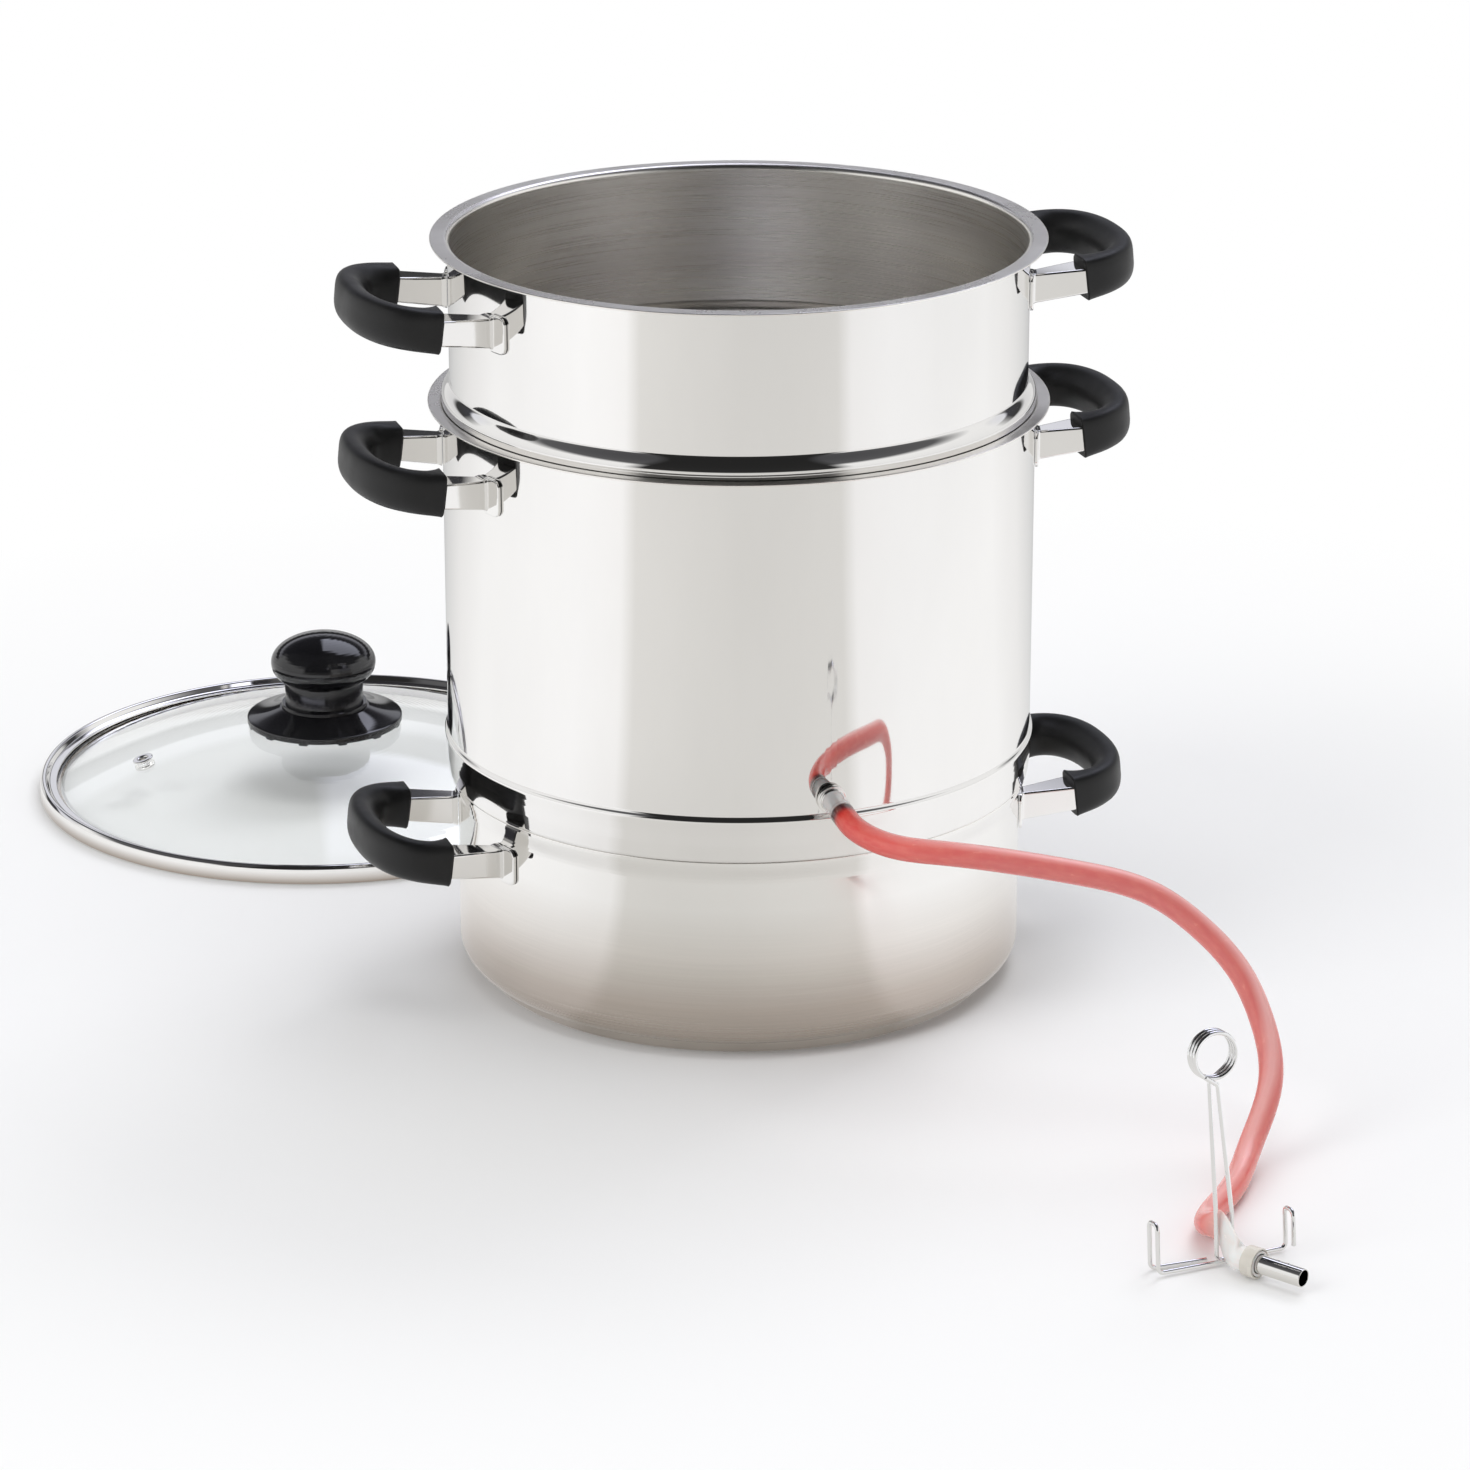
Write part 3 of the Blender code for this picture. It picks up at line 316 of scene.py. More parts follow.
KNOB_UNDER_H = 0.0085
KNOB_DOME_H = 0.0145
KNOB_DOME_STEPS = 18
KNOB_UNDER_STEPS = 8
KNOB_UNDER_POWER = 1.8
KNOB_NECK_TOP = ((0.0004, 0.0008), (0, 0.0014))
KNOB_NECK_FOOT = ((0, 0.0009), (0.0006, 0.0007), (0.0006, 0))
KNOB_COLLAR_EDGE = (0.0003, 0.0004)
SCREW_R = 0.0025
SCREW_UP = 0.030
SCREW_HEAD_R = 0.005
SCREW_HEAD_H = 0.003
SCREW_STEPS = 48
SCREW_ROUND = 0.0006
SCREW_SLOT = (0.0011, 0.0016)
WASHER_R = 0.009
WASHER_THICK = 0.0015
WASHER_ROUND = 0.0004

# Sizes that follow
KETTLE_SEAT_Z = WATER_H + GAP
KETTLE_TOP_Z = KETTLE_SEAT_Z + KETTLE_H
BASKET_TOP_Z = KETTLE_TOP_Z + BASKET_ABOVE
KETTLE_FLOOR_Z = KETTLE_SEAT_Z - KETTLE_NEST + FLOOR_RISE
BASKET_NEST_R = KETTLE_R - SHEET - BASKET_PLAY
SPOUT_Z = KETTLE_SEAT_Z + BAND_H + BAND_LINE_H + GAP + FLANGE_R
SPOUT_WAY = Vector((0, -math.cos(SPOUT_DIP), -math.sin(SPOUT_DIP)))
SPOUT_AT = Vector((0, -KETTLE_R, SPOUT_Z))
GLASS_R = LID_R - LID_RING_SHEET - GAP
GLASS_RIM_Z = LID_RING_SHEET + GAP + GLASS_THICK
GLASS_TOP_Z = GLASS_RIM_Z + GLASS_RISE
GLASS_DOME_R = GLASS_R - GLASS_FLAT
HOSE_END_WAY = Vector((math.cos(HOSE_END_TURN), math.sin(HOSE_END_TURN), 0))
STRAND_ASIDE = PINCH_THICK / 2 + PINCH_BOW + GAP + WIRE_R
LID_AT = Matrix.Translation((LID_X, LID_Y, 0))


# Camera


def set_camera():
    data = bpy.data.cameras.new("camera")
    data.lens = LENS
    data.sensor_width = 36
    data.clip_end = 100
    camera = bpy.data.objects.new("camera", data)
    camera.location = EYE
    camera.rotation_euler = (math.pi / 2 - LOOK_DOWN, 0, LOOK_TURN)
    bpy.context.scene.collection.objects.link(camera)
    bpy.context.scene.camera = camera


# Node materials


class Nodes:
    """Short calls for the nodes of one tree."""

    def __init__(self, tree):
        self.tree = tree

    def fill(self, socket, value):
        """Links a socket to another, or gives it a fixed value. A colour is given as three numbers."""
        if isinstance(value, bpy.types.NodeSocket):
            self.tree.links.new(value, socket)
        else:
            socket.default_value = (*value, 1) if socket.type == "RGBA" else value

    def add(self, kind, inputs=None, **settings):
        """Makes a node, with its settings and with inputs by name or number."""
        node = self.tree.nodes.new(kind)
        for name, value in settings.items():
            setattr(node, name, value)
        for key, value in (inputs or {}).items():
            self.fill(node.inputs[key], value)
        return node

    def parts(self, source="Object"):
        """The three parts of a texture coordinate."""
        coordinates = self.add("ShaderNodeTexCoord").outputs[source]
        return self.add("ShaderNodeSeparateXYZ", {"Vector": coordinates}).outputs

    def place(self, stretch=(1, 1, 1), source="Object"):
        """Texture coordinates, stretched along the three axes."""
        coordinates = self.add("ShaderNodeTexCoord").outputs[source]
        return self.add("ShaderNodeMapping", {"Vector": coordinates, "Scale": stretch}).outputs["Vector"]

    def noise(self, scale, detail, vector=None, rough=0.55):
        if vector is None:
            vector = self.place()
        inputs = {"Vector": vector, "Scale": scale, "Detail": detail, "Roughness": rough}
        return self.add("ShaderNodeTexNoise", inputs).outputs["Fac"]

    def spread(self, value, low=0.0, high=1.0, from_low=0.3, from_high=0.7):
        ends = {"From Min": from_low, "From Max": from_high, "To Min": low, "To Max": high}
        return self.add("ShaderNodeMapRange", {"Value": value, **ends}).outputs["Result"]

    def ramp(self, value, stops):
        """A colour ramp. Each stop is its place and its colour, or one number for a grey."""
        node = self.add("ShaderNodeValToRGB", {"Fac": value})
        elements = node.color_ramp.elements
        while len(elements) < len(stops):
            elements.new(0.5)
        for element, (at, colour) in zip(elements, stops):
            element.position = at
            element.color = (*colour, 1) if isinstance(colour, tuple) else (colour, colour, colour, 1)
        return node.outputs["Color"]

    def mix(self, share, first, second, blend="MIX"):
        """Mixes two colours, each a socket or a fixed colour."""
        node = self.add("ShaderNodeMix", data_type="RGBA", blend_type=blend)
        sockets = {socket.name: socket for socket in node.inputs if socket.enabled}
        for name, value in (("Factor", share), ("A", first), ("B", second)):
            self.fill(sockets[name], value)
        return next(socket for socket in node.outputs if socket.enabled)

    def mix_shader(self, share, first, second):
        return self.add("ShaderNodeMixShader", {"Fac": share, 1: first, 2: second}).outputs["Shader"]

    def math(self, operation, *values):
        return self.add("ShaderNodeMath", dict(enumerate(values)), operation=operation).outputs[0]

    def times(self, first, second):
        return self.math("MULTIPLY", first, second)

    def weighed(self, first, share, second):
        """The first value by its share and the second by the rest."""
        return self.math("ADD", self.times(first, share), self.times(second, 1 - share))

    def from_axis(self, parts):
        """The distance of a place from the Z axis."""
        squares = [self.times(parts[axis], parts[axis]) for axis in ("X", "Y")]
        return self.math("SQRT", self.math("ADD", *squares))

    def heading(self, parts):
        """How far a place or direction is turned from the camera's side, 0 to 1 for 0 to 180 degrees.

        It also gives its share to the right of the camera's view.
        """
        flat = self.add("ShaderNodeCombineXYZ", {axis: parts[axis] for axis in ("X", "Y")})
        unit = self.add("ShaderNodeVectorMath", {0: flat.outputs["Vector"]}, operation="NORMALIZE")
        sine, cosine = math.sin(LOOK_TURN), math.cos(LOOK_TURN)
        dots = []
        for way in ((sine, -cosine, 0), (cosine, sine, 0)):
            inputs = {0: unit.outputs["Vector"], 1: way}
            dots.append(self.add("ShaderNodeVectorMath", inputs, operation="DOT_PRODUCT").outputs["Value"])
        return self.math("DIVIDE", self.math("ARCCOSINE", dots[0]), math.pi), dots[1]


class Look(Nodes):
    """A node material round one Principled shader."""

    def __init__(self, name, colour, roughness, metallic=0.0, **sockets):
        self.material = bpy.data.materials.new(name)
        self.material.use_nodes = True
        super().__init__(self.material.node_tree)
        self.shader = self.tree.nodes["Principled BSDF"]
        self.put("Base Color", colour)
        self.put("Roughness", roughness)
        self.put("Metallic", metallic)
        for socket, value in sockets.items():
            self.put(socket.replace("_", " "), value)

    def put(self, socket, value):
        self.fill(self.shader.inputs[socket], value)

    def tint(self, value, dark, light, *ends):
        self.put("Base Color", self.mix(self.spread(value, 0.0, 1.0, *ends), dark, light))

    def bump(self, height, distance, strength):
        inputs = {"Height": height, "Distance": distance, "Strength": strength}
        self.put("Normal", self.add("ShaderNodeBump", inputs).outputs["Normal"])

    def cover(self, share, over):
        """Lays another shader over the Principled one by a share."""
        output = next(node for node in self.tree.nodes if node.type == "OUTPUT_MATERIAL")
        self.fill(output.inputs["Surface"], self.mix_shader(share, self.shader.outputs["BSDF"], over))


def polished_steel(name="polished_steel", low=None):
    """Mirror-polished sheet: faint wipe marks in its gloss and, where asked, painted shade that turns it
    browner near the floor.
    """
    look = Look(name, (0.80, 0.79, 0.775), 0.045, 1.0)
    smears = look.noise(14, 5, look.place((1, 1, 0.35)))
    lines = look.noise(9, 2, look.place((1, 1, 60)))
    look.put("Roughness", look.spread(look.weighed(smears, 0.75, lines), 0.02, 0.07))
    tone = look.mix(look.spread(smears), (0.785, 0.775, 0.76), (0.83, 0.82, 0.805))
    # Painted shade: over the given span of heights the tone turns brown towards the floor.
    if low:
        tone = look.mix(look.spread(look.parts()["Z"], 1.0, 0.0, *low), tone, (0.40, 0.345, 0.30))
    look.put("Base Color", tone)
    look.bump(look.noise(7, 1), 0.0002, 0.2)
    return look.material


def satin_and_shade_steel():
    """The water pot's wall, polished above and satin and duller near its base, where its brown is painted
    shade: the shaded floor mirrored in it.
    """
    look = Look("satin_and_shade_wall_steel", (0.80, 0.79, 0.775), 0.1, 1.0)
    lines = look.noise(22, 4, look.place((0.6, 0.6, 70)))
    low = look.spread(look.parts()["Z"], 1.0, 0.0, 0.008, 0.072)
    look.put("Roughness", look.math("ADD", 0.03, look.times(low, look.spread(lines, 0.18, 0.30))))
    # Painted shade: the tone darkens to brown towards the base. The rougher lines there are the real satin
    # finish.
    stops = (
        (0.0, (0.82, 0.81, 0.79)), (0.35, (0.73, 0.70, 0.665)), (0.75, (0.52, 0.465, 0.42)),
        (1.0, (0.43, 0.38, 0.34)),
    )
    tone = look.ramp(low, stops)
    grain = look.mix(look.spread(lines), (0.90, 0.90, 0.90), (1.0, 1.0, 1.0))
    look.put("Base Color", look.mix(low, tone, look.mix(1.0, tone, grain, "MULTIPLY")))
    look.bump(look.times(lines, low), 0.00005, 0.4)
    return look.material


def brushed_steel(name="brushed_steel", stretch=(0.5, 0.5, 60), tone=(0.66, 0.645, 0.62)):
    """Brushed sheet: fine lines round the wall, with broader duller and brighter streaks."""
    look = Look(name, tone, 0.3, 1.0)
    fine = look.noise(24, 6, look.place(stretch), rough=0.7)
    broad = look.noise(6, 3, look.place((1, 1, 8)))
    look.put("Roughness", look.spread(fine, 0.22, 0.36))
    dark = tuple(part * 0.86 for part in tone)
    light = tuple(min(part * 1.1, 1) for part in tone)
    look.tint(look.weighed(fine, 0.6, broad), dark, light, 0.35, 0.65)
    look.bump(fine, 0.00006, 0.4)
    return look.material


def disc_steel():
    """Steel turned on a lathe: fine rings about the middle."""
    look = Look("turned_base_steel", (0.44, 0.40, 0.365), 0.3, 1.0)
    out = look.add("ShaderNodeCombineXYZ", {"X": look.from_axis(look.parts())})
    rings = look.noise(1400, 4, out.outputs["Vector"])
    look.put("Roughness", look.spread(rings, 0.2, 0.36))
    shade = look.weighed(rings, 0.6, look.noise(18, 3))
    look.tint(shade, (0.37, 0.335, 0.305), (0.48, 0.44, 0.405), 0.35, 0.65)
    look.bump(rings, 0.00006, 0.5)
    return look.material


def plain_look(name, colour, roughness, noise, gloss, tones, ends, grain, bump, **sockets):
    """A plain finish: a noise moves its gloss and its tone between two ends, and a grain gives it relief.

    Noise and grain are each a scale and a detail, and the bump is the relief's depth and strength.
    """
    look = Look(name, colour, roughness, **sockets)
    broad = look.noise(*noise)
    look.put("Roughness", look.spread(broad, *gloss))
    if tones:
        look.tint(broad, *tones, *ends)
    look.bump(look.noise(*grain), *bump)
    return look.material


def wire_steel():
    """Bright plated wire."""
    return plain_look("wire_chrome", (0.84, 0.84, 0.845), 0.05, (300, 3), (0.03, 0.09), (), (),
                      (900, 2), (0.00002, 0.4), metallic=1.0)


def soft_black():
    """Soft-touch moulding with a fine grain."""
    tones = ((0.0055, 0.0055, 0.0058), (0.010, 0.010, 0.0102))
    return plain_look("grip_soft_black", (0.007, 0.007, 0.007), 0.44, (60, 3), (0.38, 0.50), tones, (),
                      (4200, 2), (0.00003, 0.5), Specular_IOR_Level=0.32)


def gloss_black():
    tones = ((0.005, 0.005, 0.006), (0.010, 0.010, 0.011))
    return plain_look("knob_gloss_black", (0.006, 0.006, 0.007), 0.06, (45, 4), (0.04, 0.11), tones, (),
                      (120, 1), (0.00004, 0.15), Specular_IOR_Level=0.6)


def washer_rubber():
    tones = ((0.015, 0.015, 0.015), (0.03, 0.03, 0.03))
    return plain_look("washer_rubber", (0.02, 0.02, 0.02), 0.7, (900, 3), (0.6, 0.8), tones, (0, 1),
                      (900, 3), (0.00005, 0.4))


def collar_clear():
    """Milky plastic."""
    tones = ((0.60, 0.565, 0.50), (0.70, 0.67, 0.61))
    return plain_look("collar_clear", (0.70, 0.67, 0.60), 0.25, (160, 2), (0.22, 0.30), tones, (0, 1),
                      (160, 2), (0.00002, 0.2), IOR=1.45)


def clear_glass():
    """Tempered glass that lets lamps through to what lies under it."""
    look = Look("lid_clear_glass", (0.975, 0.98, 0.975), 0.0, IOR=1.5, Transmission_Weight=1.0)
    smears = look.noise(20, 4)
    look.put("Roughness", look.spread(smears, 0.0, 0.02))
    look.tint(smears, (0.982, 0.987, 0.983), (0.992, 0.996, 0.993))
    rays = look.add("ShaderNodeLightPath").outputs
    clear = look.add("ShaderNodeBsdfTransparent", {"Color": (0.975, 0.985, 0.98)})
    look.cover(look.math("MAXIMUM", rays["Is Shadow Ray"], rays["Is Diffuse Ray"]), clear.outputs["BSDF"])
    return look.material


def hose_silicone():
    """Silicone full of juice: U runs along the hose, V round it, and its upper side is at V 0.25."""
    look = Look("hose_silicone", (0.66, 0.12, 0.11), 0.2, IOR=1.42, Coat_Weight=0.2, Coat_Roughness=0.12)
    look.put("Subsurface Weight", 0.25)
    look.put("Subsurface Radius", (0.004, 0.002, 0.0018))
    look.put("Subsurface Scale", 1.0)
    parts = look.parts("UV")
    # Painted shade: the dark stops at U 0.031 and 0.038 are the steel nipple's end, seen dark through the
    # juice.
    stops = (
        (0.0, 0.80), (0.026, (0.70, 0.69, 0.69)), (0.031, (0.035, 0.018, 0.022)),
        (0.038, (0.07, 0.02, 0.025)), (0.048, (0.62, 0.045, 0.035)), (0.13, (0.72, 0.13, 0.115)),
        (0.24, (0.67, 0.165, 0.155)), (0.62, (0.67, 0.175, 0.16)), (0.80, (0.74, 0.155, 0.135)),
        (0.915, (0.74, 0.11, 0.095)), (0.936, (0.82, 0.45, 0.42)), (0.946, (0.86, 0.83, 0.81)),
    )
    along = look.ramp(parts["X"], stops)
    wander = look.noise(60, 3, look.place((1, 0.2, 1), "UV"))
    patches = look.mix(look.spread(wander, 0.0, 0.16, 0.4, 0.75), along, (0.92, 0.42, 0.30))
    # Painted highlight: a paler band along the hose's upper side, where juice fills it.
    from_top = look.math("ABSOLUTE", look.math("SUBTRACT", parts["Y"], 0.25))
    juice_ends = ((0.0, 1.0, 0.05, 0.2), (1.0, 0.0, 0.88, 0.92))
    juice = look.times(*(look.spread(parts["X"], *ends) for ends in juice_ends))
    top_highlight = look.times(look.spread(from_top, 0.62, 0.0, 0.03, 0.14), juice)
    look.put("Base Color", look.mix(top_highlight, patches, (0.90, 0.52, 0.50)))
    look.put("Roughness", look.spread(wander, 0.16, 0.28))
    look.put("Alpha", look.spread(parts["X"], 0.32, 1.0, 0.026, 0.030))
    look.bump(look.noise(400, 2), 0.00004, 0.3)
    return look.material


# Mesh helpers


def finish_mesh(name, mesh, looks, body, nodes):
    """Makes an object of a mesh, in place of its CAD nodes."""
    mesh.shade_smooth()
    mesh.set_sharp_from_angle(angle=SMOOTH_ANGLE)
    obj = bpy.data.objects.new(name, mesh)
    bpy.context.scene.collection.objects.link(obj)
    for look in looks:
        mesh.materials.append(look)
    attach(obj, body)
    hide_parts(*nodes)
    return obj


def circle(steps):
    """The cosine and sine of each step round a circle."""
    angles = [2 * math.pi * i / steps for i in range(steps)]
    return [(math.cos(angle), math.sin(angle)) for angle in angles]


def ease(share):
    """Goes from 0 to 1 with a soft start and end."""
    return share * share * (3 - 2 * share)


def arc(centre, radius, start, end, steps):
    angles = [math.radians(start + (end - start) * i / steps) for i in range(steps + 1)]
    return [(centre[0] + radius * math.cos(angle), centre[1] + radius * math.sin(angle)) for angle in angles]


def lengths_along(points):
    lengths = [0.0]
    for a, b in zip(points, points[1:]):
        lengths.append(lengths[-1] + (b - a).length)
    return lengths


def ways_along(points):
    """The direction of a line at each of its points."""
    last = len(points) - 1
    return [(points[min(i + 1, last)] - points[max(i - 1, 0)]).normalized() for i in range(last + 1)]


def offset(points, distance):
    """The line at a distance to the right of another, with mitred corners."""
    normals = []
    for (r0, z0), (r1, z1) in zip(points, points[1:]):
        length = math.hypot(r1 - r0, z1 - z0)
        normals.append(((z1 - z0) / length, (r0 - r1) / length))
    moved = []
    for i, (r, z) in enumerate(points):
        before = normals[max(i - 1, 0)]
        after = normals[min(i, len(normals) - 1)]
        step = distance / (1 + before[0] * after[0] + before[1] * after[1])
        moved.append((r + step * (before[0] + after[0]), z + step * (before[1] + after[1])))
    return moved


def soften(points, radius, steps=4, closed=True, least=SOFTEN_LEAST):
    """Rounds each corner that turns by more than the least angle."""
    line = []
    for i, point in enumerate(points):
        corner = Vector(point)
        back = Vector(points[i - 1]) - corner
        onward = Vector(points[(i + 1) % len(points)]) - corner
        turn = math.pi - back.angle(onward, math.pi)
        at_end = not closed and i in (0, len(points) - 1)
        if at_end or turn < least or corner.x < ON_AXIS:
            line.append(point)
            continue
        reach = min(radius * math.tan(turn / 2), back.length * SOFTEN_SHARE, onward.length * SOFTEN_SHARE)
        first = corner + back.normalized() * reach
        last = corner + onward.normalized() * reach
        for k in range(steps + 1):
            t = k / steps
            line.append(tuple(first * (1 - t) ** 2 + corner * 2 * t * (1 - t) + last * t**2))
    return line


def supported(points, closed, inner_from=None):
    """Adds a point near both ends of each long side, so that its shading stays flat."""
    line = []
    start = inner_from
    for i, point in enumerate(points):
        if i == inner_from:
            start = len(line)
        line.append(point)
        if i == len(points) - 1 and not closed:
            break
        here = Vector(point)
        onward = Vector(points[(i + 1) % len(points)])
        length = (onward - here).length
        if length > SUPPORT_LEAST:
            near = min(SUPPORT_AT / length, SUPPORT_SHARE)
            line += [tuple(here.lerp(onward, share)) for share in (near, 1 - near)]
    return line, start


def turned_mesh(name, outline, steps, inner_from=None):
    """Turns an outline about Z. Faces from the line's point inner_from on take the second material."""
    closed = outline[0][0] > 0 or outline[-1][0] > 0
    outline, inner_from = supported(outline, closed, inner_from)
    verts, faces, looks, rings = [], [], [], []
    for r, z in outline:
        ring = [(0, 0, z)] if r < ON_AXIS else [(r * cosine, r * sine, z) for cosine, sine in circle(steps)]
        rings.append(range(len(verts), len(verts) + len(ring)))
        verts += ring
    for i in range(len(rings) if closed else len(rings) - 1):
        a, b = rings[i], rings[(i + 1) % len(rings)]
        if len(a) == 1 and len(b) == 1:
            continue
        for k in range(steps):
            n = (k + 1) % steps
            face = [a[k % len(a)], b[k % len(b)], b[n % len(b)], a[n % len(a)]]
            faces.append(list(dict.fromkeys(face)))
            looks.append(1 if inner_from is not None and i >= inner_from else 0)
    mesh = bpy.data.meshes.new(name)
    mesh.from_pydata(verts, [], faces)
    mesh.polygons.foreach_set("material_index", looks)
    mesh.validate()
    return mesh


def turned(name, outline, looks, body, nodes, steps, matrix=None, inner_from=None):
    mesh = turned_mesh(name, outline, steps, inner_from)
    if matrix:
        mesh.transform(matrix)
    return finish_mesh(name, mesh, looks, body, nodes)


def way_matrix(at, way):
    return Matrix.Translation(at) @ Vector(way).to_track_quat("Z", "Y").to_matrix().to_4x4()


def shape_mesh(name, shape):
    """Makes a mesh of a bmesh, and frees the bmesh."""
    mesh = bpy.data.meshes.new(name)
    shape.to_mesh(mesh)
    shape.free()
    return mesh


def lofted_mesh(name, rings):
    """Skins a list of equal rings of points, closes its ends and turns its faces outward."""
    shape = bmesh.new()
    made = [[shape.verts.new(point) for point in ring] for ring in rings]
    for a, b in zip(made, made[1:]):
        for k in range(len(a)):
            n = (k + 1) % len(a)
            shape.faces.new((a[k], a[n], b[n], b[k]))
    shape.faces.new(made[0][::-1])
    shape.faces.new(made[-1])
    bmesh.ops.recalc_face_normals(shape, faces=shape.faces)
    return shape_mesh(name, shape)


def with_soft_ends(rings, tucks, share):
    """Moves each end ring inward by its tuck, and closes the end with a smaller ring in its old place."""
    ends = []
    for ring, tuck in zip((rings[0], rings[-1]), tucks):
        centre = sum(ring, Vector()) / len(ring)
        ends.append([[centre + (point - centre) * share for point in ring], [point + tuck for point in ring]])
    return ends[0] + rings[1:-1] + ends[1][::-1]


def joined_mesh(name, meshes):
    shape = bmesh.new()
    for mesh in meshes:
        shape.from_mesh(mesh)
    return shape_mesh(name, shape)


def cut_mesh(mesh, cutters):
    """The mesh less the cutters, by an exact Boolean that is applied at once."""
    obj = bpy.data.objects.new("cut_work", mesh)
    tool = bpy.data.objects.new("cut_tool", joined_mesh("cut_tool", cutters))
    for made in (obj, tool):
        bpy.context.scene.collection.objects.link(made)
    modifier = obj.modifiers.new("cut", "BOOLEAN")
    modifier.object = tool
    modifier.solver = "EXACT"
    modifier.use_self = False
    graph = bpy.context.evaluated_depsgraph_get()
    result = bpy.data.meshes.new_from_object(obj.evaluated_get(graph))
    looks = [polygon.material_index for polygon in result.polygons]
    result.materials.clear()
    result.polygons.foreach_set("material_index", looks)
    bpy.data.objects.remove(obj)
    bpy.data.objects.remove(tool)
    return result

def rod_mesh(radius, low, high, steps, matrix):
    mesh = turned_mesh("rod", [(0, high), (radius, high), (radius, low), (0, low)], steps)
    mesh.transform(matrix)
    return mesh


# Pots


def lip(radius, width, top):
    """The outer face of a flat rim, and the bend from it down into the wall."""
    centre = (radius - SHEET + LIP_FILLET, top - LIP_FILLET)
    return [(radius + width, top - SHEET)] + arc(centre, LIP_FILLET - SHEET, 90, 180, RIM_STEPS)


def foot_corner(wall_r, floor_z, radius, steps):
    return arc((wall_r - radius, floor_z + radius), radius, 0, -90, steps)


def pot_outline(outer):
    """Both faces of a pot's sheet, its rim softened, and where the inner face starts."""
    inner = offset(outer, SHEET)[::-1]
    rim_out, rim_in = Vector(outer[0]), Vector(inner[-1])
    back = (rim_out - Vector(outer[1])).normalized() * RIM_ROUND
    half = (rim_in - rim_out) / 2
    middle = rim_out + half - back
    rounded = []
    for i in range(1, RIM_STEPS):
        angle = math.pi * (0.5 - i / RIM_STEPS)
        rounded.append(tuple(middle + back * math.cos(angle) + half * math.sin(angle)))
    outer = [tuple(rim_out - back)] + outer[1:]
    return outer + inner[:-1] + [tuple(rim_in - back)] + rounded, len(outer) - 1


def water_pot(steel, inside, disc):
    bottom = BASE_THICK + GAP
    outer = []
    for i in range(FLARE_STEPS + 1):
        t = i / FLARE_STEPS
        outer.append((WATER_R + WATER_FLARE * (1 - ease(t)), WATER_H - WATER_FLARE_H * t))
    outer += foot_corner(WATER_R, bottom, WATER_CORNER, WATER_CORNER_STEPS)
    outer.append((0, bottom))
    outline, inner = pot_outline(outer)
    turned("water_pot_shell", outline, [steel, inside], "water_pot", ["water_pot"],
           POT_STEPS, inner_from=inner)
    base = [
        (0, BASE_THICK), (BASE_R, BASE_THICK), (BASE_R, 0), (BASE_R - BASE_LAND, 0),
        (BASE_R - BASE_LAND - BASE_STEP, BASE_RECESS), (BASE_MIDDLE_R + BASE_STEP, BASE_RECESS),
        (BASE_MIDDLE_R, 0), (0, 0),
    ]
    base = soften(base, BASE_ROUND, 5, closed=False)
    turned("water_pot_base_disc", base, [disc], "water_pot", ["water_pot_base"], POT_STEPS)


def juice_kettle(steel, inside, brushed):
    shoulder_r = WATER_R + WATER_FLARE + RIM_COVER
    nest_r = WATER_R - SHEET - NEST_PLAY
    nest_low = KETTLE_SEAT_Z - KETTLE_NEST
    band_top = KETTLE_SEAT_Z + BAND_H
    line = lip(KETTLE_R, KETTLE_LIP, KETTLE_TOP_Z)
    line += [(KETTLE_R + BAND_OUT * share, band_top + BAND_LINE_H * up) for share, up in BAND_LINE]
    line += [(KETTLE_R + BAND_OUT * share, band_top - down) for share, down in BAND_EDGE]
    line += [(KETTLE_R + BAND_OUT * share, KETTLE_SEAT_Z + BAND_H * up) for share, up in BAND_WALL]
    line += [(shoulder_r + aside, KETTLE_SEAT_Z + up) for aside, up in SHOULDER_EDGE]
    line.append((nest_r, KETTLE_SEAT_Z))
    line += foot_corner(nest_r, nest_low, KETTLE_CORNER, KETTLE_CORNER_STEPS)
    line.append((CHIMNEY_FOOT_R + CHIMNEY_FLANGE + OVERRUN, KETTLE_FLOOR_Z))
    line.append((STEAM_HOLE_R, KETTLE_FLOOR_Z))
    outline, inner = pot_outline(line)
    mesh = turned_mesh("juice_kettle_shell", outline, POT_STEPS, inner)
    # The cut keeps the inside's faces apart only if both looks are on the mesh
    for look in (steel, inside):
        mesh.materials.append(look)
    hole = rod_mesh(SPOUT_R + GAP, -FLANGE_R, FLANGE_R, TUBE_STEPS, way_matrix(SPOUT_AT, SPOUT_WAY))
    body = "juice_kettle"
    finish_mesh("juice_kettle_shell", cut_mesh(mesh, [hole]), [steel, inside], body, [body])
    foot = KETTLE_FLOOR_Z + SHEET + GAP + SHEET
    top = foot + CHIMNEY_H
    outer = [
        (CHIMNEY_TOP_R + CHIMNEY_LIP, top), (CHIMNEY_TOP_R, top - CHIMNEY_LIP), (CHIMNEY_FOOT_R, foot),
        (CHIMNEY_FOOT_R + CHIMNEY_FLANGE, foot),
    ]
    chimney = soften(outer + offset(outer, SHEET)[::-1], CHIMNEY_ROUND)
    turned("steam_chimney_cone", chimney, [brushed], body, ["steam_chimney"], CHIMNEY_STEPS)


